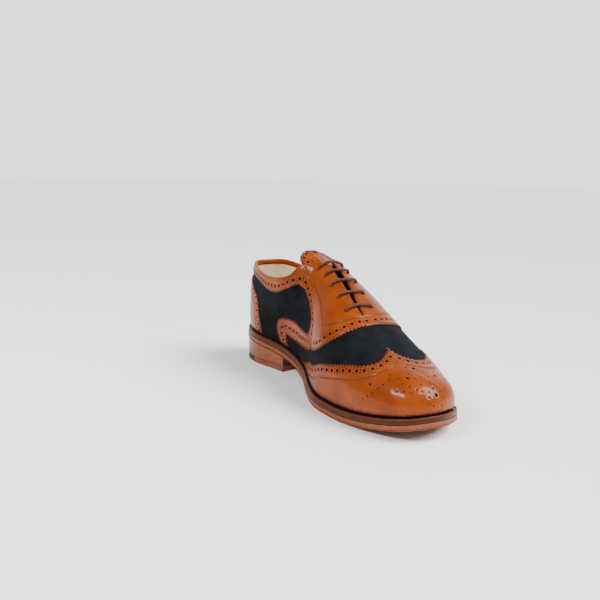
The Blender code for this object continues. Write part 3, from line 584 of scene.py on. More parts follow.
# along: share of LENGTH; rise: share of INSTEP; shift and half: shares of WIDTH to the medial side and to
# either side; then round, sink, flare and climb bend the wall between the crest and the sole
CREST = np.array([
    (0.880, 0.422, 0.118, 0.000, 0.50, 0.00, 0.024, 0.74),
    (0.872, 0.428, 0.117, 0.000, 0.51, 0.00, 0.024, 0.73),
    (0.850, 0.447, 0.115, 0.000, 0.53, 0.00, 0.024, 0.71),
    (0.815, 0.484, 0.112, 0.000, 0.55, 0.00, 0.024, 0.68),
    (0.765, 0.542, 0.108, 0.000, 0.57, 0.00, 0.024, 0.65),
    (0.705, 0.618, 0.102, 0.000, 0.59, 0.00, 0.026, 0.62),
    (0.635, 0.720, 0.087, 0.000, 0.61, 0.01, 0.028, 0.60),
    (0.568, 0.825, 0.060, 0.000, 0.63, 0.02, 0.032, 0.58),
    (0.500, 0.908, 0.033, 0.000, 0.68, 0.05, 0.040, 0.57),
    (0.438, 0.965, 0.010, 0.000, 0.78, 0.09, 0.045, 0.56),
    (0.390, 0.927, 0.000, 0.176, 0.30, 0.22, 0.035, 0.48),
    (0.350, 0.828, 0.000, 0.258, 0.14, 0.32, 0.030, 0.42),
    (0.245, 0.783, 0.000, 0.274, 0.08, 0.36, 0.028, 0.40),
    (0.132, 0.805, 0.000, 0.236, 0.10, 0.36, 0.030, 0.38),
    (0.048, 0.842, 0.000, 0.145, 0.16, 0.36, 0.030, 0.36),
    (0.028, 0.849, 0.000, 0.000, 0.20, 0.36, 0.032, 0.36),
])


def crest(side, t):
    """Line that the upper ends on: the ridge of the instep, then the edge of the throat and collar."""
    t = np.asarray(t, float)
    rows = np.concatenate([CREST, CREST[-2:-4:-1] * (1, 1, 1, -1, 1, 1, 1, 1)])
    shares = spline(rows, t)
    opening = np.clip((t - THROAT_FOOT) / (THROAT_TOP - THROAT_FOOT), 0, 1) ** 0.7 * THROAT_GAP / 2
    opening *= np.clip(BACK - t, 0, 1)
    y = -shares[..., 2] * WIDTH + side * (shares[..., 3] * WIDTH + opening)
    points = np.stack([shares[..., 0] * LENGTH - CENTRE[0], y - CENTRE[1], shares[..., 1] * INSTEP], axis=-1)
    return points, shares[..., 4:]


def skin(side, t, shares):
    """Outer face of the shoe: a grid over stations and shares of the girth, 0 at the welt, 1 at the crest."""
    edge, outward = inset_edge(side, t, REACH)
    foot = np.column_stack([edge, underside(edge[:, 0]) + UPPER_FOOT])
    top, bend = crest(side, t)
    round_, sink, flare, climb = bend.T[:, :, None]
    out = foot[:, :2] - top[:, :2]
    span = np.linalg.norm(out, axis=1, keepdims=True)
    height = top[:, 2:] - foot[:, 2:]
    vamp = np.clip((THROAT_TOP + 0.4 - t) / 1.2, 0, 1)[:, None]
    away = unit(out / span * vamp + outward * (1 - vamp))
    flat = round_ * (span * vamp + COLLAR_ROUND * WIDTH * (1 - vamp))
    ahead = crest(side, np.clip(t - 0.05, 0, THROAT_TOP - 0.1))[0]
    run = ahead - crest(side, np.clip(t + 0.05, 0.1, THROAT_TOP))[0]
    slope = run[:, 2:] / run[:, :1] * vamp
    low = foot + np.hstack([outward * flare * WIDTH, climb * height])
    high = top + np.hstack([away * flat, slope * away[:, :1] * flat - sink * height])
    fine = np.linspace(0, 1, 49)[:, None]
    grid = np.empty((len(t), len(shares), 3))
    for row, (a, b, c, d) in enumerate(zip(foot, low, high, top)):
        curve = (1 - fine) ** 3 * a + 3 * (1 - fine) ** 2 * fine * b
        curve += 3 * (1 - fine) * fine**2 * c
        curve += fine**3 * d
        length = walked(curve)
        grid[row] = np.column_stack([np.interp(shares, length / length[-1], axis) for axis in curve.T])
    return grid


class Last:
    """The outer face read finely once, for a point and a normal at any station and share of the girth."""

    T = np.linspace(0, BACK, 601)
    V = np.linspace(0, 1, 97)
    EASED = (5.6, 12.2)  # stations between which it is eased, coming in over EASE_IN
    EASE_IN = 1.5

    def __init__(self):
        self.points = np.stack([skin(side, self.T, self.V) for side in (-1, 1)])
        self.points += (self.eased(self.points) - self.points) * self.share()[None, :, :, None]
        normals = np.cross(np.gradient(self.points, axis=1), np.gradient(self.points, axis=2))
        normals[0] *= -1
        for row in (0, -1):
            normals[:, row] = normals[:, row].sum(axis=0)
        ridge = self.T <= THROAT_FOOT
        normals[:, ridge, -1] = normals[:, ridge, -1].sum(axis=0)
        self.normals = unit(normals)
        self.girth = np.linalg.norm(np.diff(self.points, axis=2), axis=-1).sum(axis=2)

    def eased(self, points, reach=24):
        """Points blurred along the shoe, so that the leather draws smoothly from the vamp to the quarters."""
        window = np.hanning(2 * reach + 3)[1:-1]
        padded = np.pad(points, ((0, 0), (reach, reach), (0, 0), (0, 0)), mode="edge")
        return sum(w * padded[:, k : k + len(self.T)] for k, w in enumerate(window / window.sum()))

    def share(self):
        """How much of the easing each station and share of the girth takes: none at the crest or the ends."""
        first, last = self.EASED
        along = np.clip((self.T - first) / self.EASE_IN, 0, 1) * np.clip((last - self.T) / self.EASE_IN, 0, 1)
        return along[:, None] * np.clip((0.99 - self.V) / 0.12, 0, 1)

    def at(self, side, t, v, depth=0.0):
        """Points at the stations t and shares v, depth under the face, and the normals there."""
        side = (np.broadcast_to(side, np.shape(t)) > 0).astype(int)
        row = np.clip(t, 0, BACK) * (len(self.T) - 1) / BACK
        column = np.clip(v, 0, 1) * (len(self.V) - 1)
        i = np.minimum(row.astype(int), len(self.T) - 2)
        j = np.minimum(column.astype(int), len(self.V) - 2)
        f, g = (row - i)[..., None], (column - j)[..., None]
        found = []
        for field in (self.points, self.normals):
            near = field[side, i, j] * (1 - g) + field[side, i, j + 1] * g
            far = field[side, i + 1, j] * (1 - g) + field[side, i + 1, j + 1] * g
            found.append(near * (1 - f) + far * f)
        normals = unit(found[1])
        return found[0] - normals * depth, normals


last = Last()

# Sueded calf, dyed navy and nearly black: the short nap scatters light, lies in soft patches where a hand
# has passed, and glows faintly at a grazing angle.
suede, tree, shader, place = finish(
    "navy sueded calf",
    Roughness=0.92,
    Specular_IOR_Level=0.1,
    Sheen_Weight=0.05,
    Sheen_Roughness=0.45,
    Sheen_Tint=linear("#5C6B7A"),
)
patches = add(tree, "TexNoise", {}, {"Vector": place, "Scale": per_mm(14.0), "Detail": 3.0}).outputs[0]
fine_fur = {"Vector": place, "Scale": per_mm(0.7), "Detail": 6.0, "Roughness": 0.7}
nap = add(tree, "TexNoise", {}, fine_fur).outputs[0]
mixed = add(tree, "Math", {"operation": "MULTIPLY_ADD"}, {0: nap, 1: 0.5, 2: patches}).outputs[0]
navy = add(tree, "ValToRGB", {"stops": [(0.45, "#020203"), (0.95, "#131619")]}, {"Fac": mixed}).outputs[0]
bump = add(tree, "Bump", {}, {"Height": nap, "Distance": 0.0003, "Strength": 0.7})
connect(tree, shader, Base_Color=navy, Normal=bump.outputs[0])

SUEDE_DEPTH = OVERLAY  # the panels sink a hair into it
stations = np.unique(np.concatenate([np.linspace(0, BACK, 241), [THROAT_FOOT]]))
shares = np.linspace(0, 1, 49)
LINING_LEATHER = 0.0009


def thicken(obj, thickness):
    """Gives a sheet the thickness of its leather, behind its face."""
    wall = obj.modifiers.new("leather", "SOLIDIFY")
    wall.thickness = thickness
    wall.offset = -1


def body(name, depth, thick, material, replaces=(), short=0.0):
    """One layer of the upper over both sides, from the welt to the crest, open at the throat and collar."""
    bm = bmesh.new()
    t, v = np.meshgrid(stations, shares, indexing="ij")
    for side in (-1, 1):
        points, normals = last.at(side, t, v * (1 - short * np.clip((THROAT_TOP - t) * 4, 0, 1)))
        level = normals.copy()
        level[:, 0, 2] = 0
        level[:, 0] /= np.linalg.norm(level[:, 0], axis=-1, keepdims=True)
        grid_of(bm, points - level * depth)
    bmesh.ops.remove_doubles(bm, verts=bm.verts, dist=4e-6)
    obj = piece(name, bm, material, replaces, sharp=70)
    top = max(obj.data.polygons, key=lambda face: face.center.z)
    if top.normal.dot(Vector((0.3, 0, 1))) < 0:
        obj.data.flip_normals()
    thicken(obj, thick)


body("upper_suede", SUEDE_DEPTH, LINING - LINING_LEATHER - SUEDE_DEPTH, suede, ["upper"])

# Lining: cream calf, glued to the suede and turned out at the collar, with the same form inside.
cream, tree, shader, place = finish("cream lining calf", Roughness=0.5)
noise = add(tree, "TexNoise", {}, {"Vector": place, "Scale": per_mm(6.0), "Detail": 4.0}).outputs[0]
milk = add(tree, "ValToRGB", {"stops": [(0.3, "#CBB68F"), (0.7, "#E0CFAE")]}, {"Fac": noise}).outputs[0]
grain = add(tree, "TexVoronoi", {}, {"Vector": place, "Scale": per_mm(0.8)}).outputs["Distance"]
bump = add(tree, "Bump", {}, {"Height": grain, "Distance": 0.00006, "Strength": 0.5})
connect(tree, shader, Base_Color=milk, Normal=bump.outputs[0])
body("upper_lining", LINING - LINING_LEATHER, LINING_LEATHER, cream, short=0.03)

# Insole: a leather board that the upper is lasted round, under a cream sock that the foot stands on.
INSOLE = 0.0035
inner = REACH + LINING + 3 * GAP
stations_sole = np.linspace(0, BACK, 181)
wall = [(WELT_WIDTH + GAP, WELT_FOOT), (WELT_WIDTH + GAP, UPPER_FOOT), (inner, UPPER_FOOT)]
face = [(inner, UPPER_FOOT + INSOLE - 0.0008), (inner + 0.0003, UPPER_FOOT + INSOLE - 0.0002)]
face += [(inner + 0.0010, UPPER_FOOT + INSOLE)]
bm = bmesh.new()
grid_of(bm, slab(stations_sole, wall, face, 16, 4))
piece("insole_sock", bm, cream, ["insole"], sharp=50)

# Panels: tan calf, skived, pinked along the edge with a toothed wheel, punched in rows of one large hole
# between pairs of small ones, and sewn down over the suede. Each is cut flat like a maker's pattern: on the
# vamp pattern X runs along the ridge, on the heel pattern X runs round the heel and Y is up.
PANEL = 0.00115  # leather of the panels
PANEL_FOOT = 0.02
TOOTH_PITCH = 0.0033
TOOTH_DEPTH = 0.0019
TOOTH_OUT = 0.0005  # how far their tips stand out of the panel's line
HOLE_PITCH = 0.0070
HOLE = 0.00140  # radius of a large hole
PINHOLE = 0.00058
PINHOLE_ASIDE = 0.00125
SEAM_WIDTH = 0.00040
SEAM_DEPTH, EDGE_DROP, HOLE_DROP = 0.00024, 0.00022, 0.00015  # how far each is pressed down
HOLE_LIP = 0.0003  # from a hole out to where the leather is level again
SEWN_CLEAR = 0.0010  # from the foot of the teeth in to the stitches
SEAM_CLEAR = 0.0006  # from a panel's edge in to where a seam may start
SEAM_STEP = 0.0016  # spacing of the points along a seam
NET = 0.0018  # spacing of the mesh between the edges


class Pattern:
    """The outer face unrolled flat, and the way back from the pattern to the shoe."""

    def __init__(self, kind):
        self.kind = kind
        self.stations = np.union1d(np.linspace(0, BACK, 241), [THROAT_FOOT])
        self.shares = np.linspace(0, 1, 33)
        self.flat = {side: self.unroll(side, skin(side, self.stations, self.shares)) for side in (-1, 1)}
        plane = np.concatenate([self.flat[side].reshape(-1, 2) for side in (-1, 1)])
        t, v = np.meshgrid(self.stations, self.shares, indexing="ij")
        self.spots = np.tile(np.column_stack([t.ravel(), v.ravel()]), (2, 1))
        self.sides = np.repeat([-1, 1], t.size)
        quad = np.arange(len(plane)).reshape(2, *t.shape)
        a, b, c, d = quad[:, :-1, :-1], quad[:, 1:, :-1], quad[:, 1:, 1:], quad[:, :-1, 1:]
        halves = [np.stack(corners, axis=-1).reshape(-1, 3) for corners in ((a, b, c), (a, c, d))]
        self.triangles = np.concatenate(halves)
        self.plane = plane
        solid = np.column_stack([plane, np.zeros(len(plane))])
        self.tree = BVHTree.FromPolygons(solid.tolist(), self.triangles.tolist())

    def unroll(self, side, grid):
        girth = np.linalg.norm(np.diff(grid, axis=1), axis=2).sum(axis=1)
        foot, top = grid[:, 0], grid[:, -1]
        down = (1 - self.shares)[None, :, None] * girth[:, None, None]
        if self.kind == "heel":
            round_foot = np.linalg.norm(np.diff(foot[:, :2], axis=0), axis=1)
            round_top = np.linalg.norm(np.diff(top[:, :2], axis=0), axis=1)
            along = np.append(0, np.cumsum((round_foot + round_top) / 2))
            start = np.column_stack([side * (along[-1] - along), top[:, 2]])
            return start[:, None] + down * (0, -1)
        on_ridge = self.stations <= THROAT_TOP
        line = np.where(on_ridge[:, None], top * (1, 0, 1), top * (1, 1, 0))
        steps = np.linalg.norm(np.diff(line, axis=0), axis=1)
        turn = np.sum(on_ridge) - 1
        steps[turn] = np.linalg.norm(np.diff(top[:, :2], axis=0), axis=1)[turn]
        along = np.append(0, np.cumsum(steps))
        middle = -spline(CREST[:, 2:3], self.stations)[:, 0] * WIDTH - CENTRE[1]
        apart = np.where(on_ridge, abs(top[:, 1] - middle), THROAT_GAP / 2)
        drop = np.where(on_ridge, 0, top[turn, 2] - top[:, 2])
        start = np.column_stack([-along, side * (apart + drop)])
        fan = np.clip(7 - self.stations, 0, 1)[:, None]
        out = unit(unit(foot[:, :2] - top[:, :2]) * fan + np.array([0, side]) * (1 - fan))
        return start[:, None] + down * out[:, None]

    def edge(self, side, rows):
        """Places on the pattern of a list of (station, share of the girth)."""
        found = []
        fields = np.moveaxis(self.flat[side], 2, 0)
        for t, v in rows:
            lines = [[np.interp(v, self.shares, row) for row in field] for field in fields]
            found.append([np.interp(t, self.stations, line) for line in lines])
        return np.array(found)

    def lift(self, plane):
        """Points of the shoe, its normals there, and the stations and shares, for points of the pattern."""
        faces = np.array([self.tree.find_nearest((x, y, 0.0))[2] for x, y in plane])
        corners = self.triangles[faces]
        a, b, c = (self.plane[corners[:, k]] for k in range(3))
        cross = (b - a)[:, 0] * (c - a)[:, 1] - (b - a)[:, 1] * (c - a)[:, 0]
        cross = np.where(np.abs(cross) < 1e-14, 1e-14, cross)
        p = plane - a
        u = (p[:, 0] * (c - a)[:, 1] - p[:, 1] * (c - a)[:, 0]) / cross
        w = ((b - a)[:, 0] * p[:, 1] - (b - a)[:, 1] * p[:, 0]) / cross
        weights = np.clip(np.column_stack([1 - u - w, u, w]), 0, 1)
        weights /= weights.sum(axis=1, keepdims=True)
        spots = np.einsum("nk,nkj->nj", weights, self.spots[corners])
        points, normals = last.at(self.sides[corners[:, 0]], spots[:, 0], spots[:, 1])
        return points, normals, spots


def measure(pattern, plane):
    """How the pattern stretches at its points: a 3 by 2 matrix for each, and the normal there."""
    step = 2e-4
    ways = [(pattern.lift(plane + d)[0] - pattern.lift(plane - d)[0]) / (2 * step) for d in np.eye(2) * step]
    return np.stack(ways, axis=-1), pattern.lift(plane)[1]


def flatten(stretch, offsets):
    """Offsets on the pattern that give offsets on the shoe."""
    square = np.einsum("nij,nik->njk", stretch, stretch) + np.eye(2) * 1e-9
    return np.linalg.solve(square, np.einsum("nij,ni->nj", stretch, offsets)[..., None])[..., 0]


def through(pattern, points, spacing):
    """Smooth line through places of the pattern, with a point about every spacing as the shoe measures it."""
    points = np.asarray(points)
    fine = spline(points, np.linspace(0, len(points) - 1, 16 * len(points)))
    length = walked(pattern.lift(fine)[0])
    count = max(2, int(round(length[-1] / spacing)) + 1)
    marks = np.linspace(0, length[-1], count)
    return np.column_stack([np.interp(marks, length, axis) for axis in fine.T])


def aside(pattern, line, distance):
    """The line moved over the shoe, to the left of the way it runs on the pattern."""
    stretch, normals = measure(pattern, line)
    ahead = np.gradient(line, axis=0)
    run = np.einsum("nij,nj->ni", stretch, ahead)
    left = np.cross(normals, run)
    left /= np.maximum(np.linalg.norm(left, axis=1, keepdims=True), 1e-9)
    distance = np.broadcast_to(distance, len(line))
    move = flatten(stretch, left * distance[:, None])
    turn = ahead[:, 0] * move[:, 1] - ahead[:, 1] * move[:, 0]
    wrong = turn * distance < 0
    return line + np.where(wrong[:, None], -move, move)


def pinked(pattern, line, inward):
    """The line cut into teeth: inward is 1 where the panel lies to the left of it, or -1."""
    line = through(pattern, line, TOOTH_PITCH / 4)
    phase = np.arange(len(line)) % 4
    depth = TOOTH_DEPTH * np.array([0.0, 0.5, 1.0, 0.5])[phase] - TOOTH_OUT
    depth[:3] = depth[-3:] = 0
    return aside(pattern, line, depth * inward)


def circle(pattern, centres, radius, count):
    """Round outline of each hole, as it measures on the shoe, for every centre on the pattern."""
    stretch, normals = measure(pattern, centres)
    first = stretch[:, :, 0] / np.maximum(np.linalg.norm(stretch[:, :, 0], axis=1, keepdims=True), 1e-9)
    second = np.cross(normals, first)
    loops = []
    for a in np.arange(count) * 2 * np.pi / count:
        loops.append(centres + flatten(stretch, (first * math.cos(a) + second * math.sin(a)) * radius))
    return np.stack(loops, axis=1)


def inside(point, loop):
    """Whether a point lies in a closed outline."""
    a, b = loop, np.roll(loop, -1, axis=0)
    crosses = (a[:, 1] > point[1]) != (b[:, 1] > point[1])
    a, b = a[crosses], b[crosses]
    crossed = (b[:, 0] - a[:, 0]) * (point[1] - a[:, 1]) / (b[:, 1] - a[:, 1]) + a[:, 0]
    return np.sum(point[0] < crossed) % 2 == 1


def signed_area(loop):
    """Twice the area of an outline, above zero where it runs anticlockwise."""
    after = np.roll(loop, -1, axis=0)
    return np.sum(loop[:, 0] * after[:, 1] - loop[:, 1] * after[:, 0])


def tree_of(points):
    """Tree that finds the nearest of some points of a pattern."""
    tree = KDTree(len(points))
    for i, (x, y) in enumerate(points):
        tree.insert((x, y, 0), i)
    tree.balance()
    return tree


def panel(name, pattern, runs, rows, seams, dots, material, replaces=(), net=NET):
    """Panel cut along its runs, each a stretch of outline and whether it is pinked, with its holes and seams.

    rows are lines of large holes between pairs of small ones, dots are single holes with their radius.
    Gives the rows of stitches along its pinked edges.
    """
    loop = np.concatenate([np.asarray(line)[:-1] for line, _ in runs])
    turn = 1 if signed_area(loop) > 0 else -1
    lines, sewn = [], []
    for line, teeth in runs:
        plain = through(pattern, line, NET)
        lines.append(pinked(pattern, line, turn) if teeth else plain)
        if teeth:
            sewn.append(aside(pattern, plain, (TOOTH_DEPTH - TOOTH_OUT + SEWN_CLEAR) * turn))
    outline = np.concatenate([line[:-1] for line in lines])
    rim = tree_of(outline)

    def free(line, tree, room):
        return np.array([spot for spot in line if tree.find((*spot, 0))[2] > room and inside(spot, outline)])

    holes = [(spot, radius) for spot, radius in dots]
    for row in rows:
        large = through(pattern, row, HOLE_PITCH)
        holes += [(spot, HOLE) for spot in large]
        between = through(pattern, row, HOLE_PITCH / 2)[1::2]
        for away in (-PINHOLE_ASIDE, PINHOLE_ASIDE):
            holes += [(spot, PINHOLE) for spot in aside(pattern, between, away)]
    kept = []
    for spot, radius in holes:
        clear = all(np.hypot(*(spot - other)) > radius + size + 0.0005 for other, size in kept)
        room = rim.find((*spot, 0))[2] > radius + 0.0007
        if clear and room and inside(spot, outline):
            kept.append((spot, radius))
    points, drop, loops = [outline], [np.full(len(outline), EDGE_DROP)], []
    count = len(outline)
    edges = [(k, (k + 1) % count) for k in range(count)]
    for size in sorted({radius for _, radius in kept}):
        centres = np.array([spot for spot, radius in kept if radius == size])
        around = 12 if size > 0.0008 else 7
        loops += [list(range(count + k * around, count + (k + 1) * around)) for k in range(len(centres))]
        for more, sunk in ((0.0, HOLE_DROP), (HOLE_LIP, 0.0)):
            rings = circle(pattern, centres, size + more, around).reshape(-1, 2)
            points.append(rings)
            drop.append(np.full(len(rings), sunk))
            count += len(rings)
    for seam in seams:
        middle = through(pattern, seam, SEAM_STEP)
        for away, sunk in ((0.0, SEAM_DEPTH), (SEAM_WIDTH, 0.0), (-SEAM_WIDTH, 0.0)):
            line = aside(pattern, middle, away) if away else middle
            line = free(line, rim, SEAM_CLEAR)
            if len(line) < 2:
                continue
            points.append(line)
            drop.append(np.full(len(line), sunk))
            edges += [(count + k, count + k + 1) for k in range(len(line) - 1)]
            count += len(line)
    fixed = np.concatenate(points)
    near = tree_of(fixed)
    low, high = outline.min(axis=0), outline.max(axis=0)
    xs, ys = np.arange(low[0], high[0], net), np.arange(low[1], high[1], net * 0.866)
    inner = np.array([(x + net / 2 * (row % 2), y) for row, y in enumerate(ys) for x in xs])
    inner = free(inner, near, 0.6 * net)
    seeds = np.concatenate([fixed, inner])
    drop = np.concatenate(drop + [np.zeros(len(inner))])
    loops = [ring[:: 1 if signed_area(seeds[ring]) > 0 else -1] for ring in loops]
    found = geometry.delaunay_2d_cdt([Vector(spot) for spot in seeds], edges, loops, 0, 1e-7)
    plane = np.array([tuple(spot) for spot in found[0]])
    solid = [face for face, origin in zip(found[2], found[5]) if not origin]
    faces = np.array([face for face in solid if inside(plane[face].mean(axis=0), outline)])
    sunk = np.array([max((drop[k] for k in origin if k < len(drop)), default=0) for origin in found[3]])
    used, faces = np.unique(faces, return_inverse=True)
    faces = faces.reshape(-1, 3)
    places, normals, spots = pattern.lift(plane[used])
    sunk = sunk[used]
    a, b, c = places[faces.T]
    facing = np.einsum("ij,ij->i", np.cross(b - a, c - a), normals[faces[:, 0]])
    faces = np.where((facing < 0)[:, None], faces[:, ::-1], faces)
    mesh = bpy.data.meshes.new(name)
    mesh.from_pydata((places - normals * sunk[:, None]).tolist(), [], faces.tolist())
    # crease: how far each point is pressed down, which paints shade into seams, hole rims and edges.
    for field, values in (("crease", np.clip(sunk / SEAM_DEPTH, 0, 1)), ("share", spots[:, 1])):
        mesh.attributes.new(field, "FLOAT", "POINT").data.foreach_set("value", values.astype(np.float32))
    thicken(dressed(name, mesh, material, replaces, sharp=60), PANEL)
    return sewn


# Box calf, dyed orange-tan through a spray that leaves it deeper at the toe and down by the welt, then
# glazed: fine pores under a clear gloss, darker along the feather of the sole, and painted shade darkening
# its seam grooves, the rims of its holes and its pressed-down edges.
calf, tree, shader, place = finish(
    "burnished tan box calf", Roughness=0.36, Specular_IOR_Level=0.08, Coat_Weight=0.20, Coat_Roughness=0.10
)
cloud = add(tree, "TexNoise", {}, {"Vector": place, "Scale": per_mm(22.0), "Detail": 4.0}).outputs[0]
tan = add(tree, "ValToRGB", {"stops": [(0.32, "#6E2C02"), (0.68, "#883C06")]}, {"Fac": cloud}).outputs[0]
share = add(tree, "Attribute", {"attribute_name": "share"}, {}).outputs["Fac"]
soft = {"interpolation_type": "SMOOTHSTEP"}
burnish = add(tree, "MapRange", soft, {"Value": share, "From Min": 0.085, "From Max": 0.02}).outputs[0]
red = add(tree, "Mix", {"data_type": "RGBA"}, {0: burnish, 6: tan, 7: linear("#4A1806")}).outputs[2]
# Painted shade: darker in the seam grooves, round the holes and along the sunk edges, where the leather is
# pressed down.
crease = add(tree, "Attribute", {"attribute_name": "crease"}, {}).outputs["Fac"]
recess_shaded = add(tree, "Mix", {"data_type": "RGBA"}, {0: crease, 6: red, 7: linear("#3A1409")}).outputs[2]
pores = add(tree, "TexVoronoi", {}, {"Vector": place, "Scale": per_mm(0.55)}).outputs["Distance"]
gloss = add(tree, "MapRange", {}, {"Value": cloud, "To Min": 0.30, "To Max": 0.44}).outputs[0]
bump = add(tree, "Bump", {}, {"Height": pores, "Distance": 0.00003, "Strength": 0.5})
connect(tree, shader, Base_Color=recess_shaded, Roughness=gloss, Normal=bump.outputs[0])

# Fine polyester thread, brown, sunk in the leather along every seam.
top_thread = finish("brown polyester top thread", Roughness=0.55, Base_Color=linear("#3E1B0B"))[0]

SEAM_APART = 0.0009  # from the middle of a double seam to either row
EDGE_STEP = 0.0015  # spacing of the points along an edge from which rows and seams are set in
TOP_STITCH = (0.0018, 0.0013, 0.00042, 0.00004)  # pitch, length, thickness and lift of a stitch
vamp, heel = Pattern("vamp"), Pattern("heel")
sewn_lines = []


def seam_stitches(pattern, lines, gap=0.0):
    """Remembers lines of a pattern, doubled by a gap where it has one, for the rows of top stitches."""
    for line in lines:
        line = through(pattern, line, 0.0012)
        for way in ((-1, 1) if gap else (0,)):
            moved = aside(pattern, line, way * gap) if gap else line
            points, normals, spots = pattern.lift(moved)
            clear = spots[1:, 1] > PANEL_FOOT + 0.01
            clear &= np.linalg.norm(np.diff(points, axis=0), axis=1) < 0.003
            for run in np.split(np.arange(1, len(points)), np.flatnonzero(~clear)):
                run = run[clear[run - 1]]
                if len(run) > 3:
                    sewn_lines.append((points[run], normals[run]))


def clipped(line, side):
    """The part of a line that lies on its own side of the vamp's ridge."""
    return line[line[:, 1] * side > -1e-5]


# Wing cap: the toe piece, whose edge runs back along both sides and comes to a point on the ridge. Outline
# by share of the girth, then the station on the medial and on the lateral side.
WING = [
    (1.00, 3.45, 3.45),
    (0.93, 3.28, 2.98),
    (0.84, 3.26, 2.80),
    (0.70, 3.33, 2.90),
    (0.57, 3.78, 3.40),
    (0.465, 4.60, 4.40),
    (0.335, 5.75, 5.60),
    (0.18, 7.25, 7.20),
    (PANEL_FOOT, 8.70, 8.60),
]
WING_ROW = 0.0052  # from the edge in to the row of holes
WING_SEAM = 0.0118

# Medallion: a figure of punched holes on the toe, alike on both sides of its axis, which leans to the outer
# side. For each line of evenly spaced holes: how many, their radius in millimetres, and the points that it
# passes, in millimetres forward of the crown and off the axis.
AXIS = (0.0056, 0.075)  # how far it lies aside at the crown, and its lean
MEDALLION = [
    (1, 1.3, [(3, 0)]),
    (1, 1.4, [(34, 0)]),
    (1, 1.2, [(13, 14)]),
    (1, 0.9, [(-5, 40)]),
    (3, 0.6, [(8, 5), (16, 4), (23, 0)]),
    (3, 0.6, [(9, 10), (16, 9), (23, 9)]),
    (2, 0.6, [(28, 0), (31, 6)]),
    (4, 0.6, [(47, 0), (42, 5), (35, 8), (29, 12)]),
    (4, 0.6, [(26, 15), (21, 19), (16, 21), (10, 20)]),
    (3, 0.6, [(27, 21), (18, 28)]),
    (7, 0.6, [(2, 23), (6, 27), (4, 36), (2, 44), (-4, 53)]),
]
wing_runs, wing_rows, wing_seams = {}, [], []
for side, column in ((-1, 1), (1, 2)):
    edge = vamp.edge(side, [(row[column], row[0]) for row in WING])
    wing_runs[side] = edge
    line = through(vamp, edge, EDGE_STEP)
    wing_rows.append(clipped(aside(vamp, line, -side * WING_ROW), side)[2:-3])
    wing_seams.append(clipped(aside(vamp, line, -side * WING_SEAM), side)[:-2])
foot = vamp.edge(1, [(t, PANEL_FOOT) for t in np.linspace(WING[-1][2], 0, 16)])
back = vamp.edge(-1, [(t, PANEL_FOOT) for t in np.linspace(0, WING[-1][1], 16)])
crown = vamp.edge(1, [(0.0, 1.0)])[0]
dots = []
for count, radius, line in MEDALLION:
    line = np.array(line) / 1000
    length = walked(line)
    marks = np.linspace(0, length[-1], count)
    for forward, away in zip(*(np.interp(marks, length, axis) for axis in line.T)):
        axis = AXIS[0] + AXIS[1] * forward
        for way in (-1, 1) if away else (1,):
            dots.append((crown + (forward, axis + way * away), radius / 1000))
runs = [(wing_runs[1], True), (np.concatenate([foot, back[1:]]), False), (wing_runs[-1][::-1], True)]
sewn = panel("wing_cap_calf", vamp, runs, wing_rows, wing_seams, dots, calf, ["wing_cap"])
seam_stitches(vamp, sewn)
seam_stitches(vamp, wing_seams, SEAM_APART)

# Facing: one piece that holds the eyelets, carries on as the collar band to the back seam and as a curl
# down the quarter to the welt. Its edges are pinked but for the throat, the collar and the welt.
FACING_FRONT = [(4.93, 1.00), (5.00, 0.90), (5.12, 0.79), (5.45, 0.625), (6.03, 0.458), (6.95, 0.317)]
CURL_INNER = [(6.95, 0.317), (7.60, 0.235), (8.28, 0.180), (8.95, 0.148), (9.65, 0.142), (10.10, 0.160)]
CURL_HOOK = [(10.10, 0.160), (10.05, 0.092), (9.93, PANEL_FOOT)]
CURL_OUTER = [(10.55, PANEL_FOOT), (10.73, 0.100), (10.83, 0.217), (10.75, 0.325), (10.30, 0.367)]
CURL_OUTER += [(9.65, 0.358), (8.88, 0.335), (8.10, 0.350), (7.70, 0.400)]
FACING_BACK = [(7.70, 0.400), (7.68, 0.500), (8.10, 0.575), (8.60, 0.640), (9.10, 0.690)]
BAND_LOW = [(9.10, 0.690), (9.70, 0.755), (10.70, 0.805), (11.43, 0.800), (12.00, 0.830), (12.90, 0.890)]
BAND_LOW += [(14.98, 0.900)]
BAND_END = BAND_LOW[-1][0]
FRONT_ROW = [(5.20, 1.00), (5.28, 0.905), (5.40, 0.80), (5.70, 0.655), (6.22, 0.50), (6.75, 0.405)]
CURL_ROW = [(6.75, 0.405), (7.15, 0.345), (7.60, 0.315), (8.28, 0.262), (8.95, 0.242), (9.65, 0.250)]
CURL_ROW += [(10.15, 0.262), (10.42, 0.235), (10.45, 0.17), (10.33, 0.08)]
BACK_ROW = [(7.28, 0.430), (7.36, 0.510), (7.68, 0.573), (8.10, 0.635), (8.43, 0.682), (8.95, 0.735)]
BACK_ROW += [(9.60, 0.815), (10.40, 0.885), (11.40, 0.900), (12.20, 0.918), (13.00, 0.945), (14.92, 0.950)]
FACING_SEAM = [(9.75, 0.967), (8.93, 0.792), (8.00, 0.758), (7.12, 0.708), (6.45, 0.600)]
FRONT_SEAM = [(6.45, 0.602), (6.08, 0.672), (5.72, 0.775), (5.52, 0.880), (5.42, 1.00)]
THROAT_SEAM = 0.0024  # from the throat's edge in to its stitches
EYELETS = np.linspace(8.80, 5.95, 5)
EYELET = 0.0016
LACE_SPAN = {-1: 0.0125, 1: 0.0150}  # from the middle of the gap out to the eyelets of either side


def eyelet_share(side, t):
    """Share of the girth of the eyelet at a station."""
    opening = np.linalg.norm(crest(-1, t)[0] - crest(1, t)[0]) / 2
    girth = np.interp(t, last.T, last.girth[int(side > 0)])
    return 1 - (LACE_SPAN[side] - opening) / girth


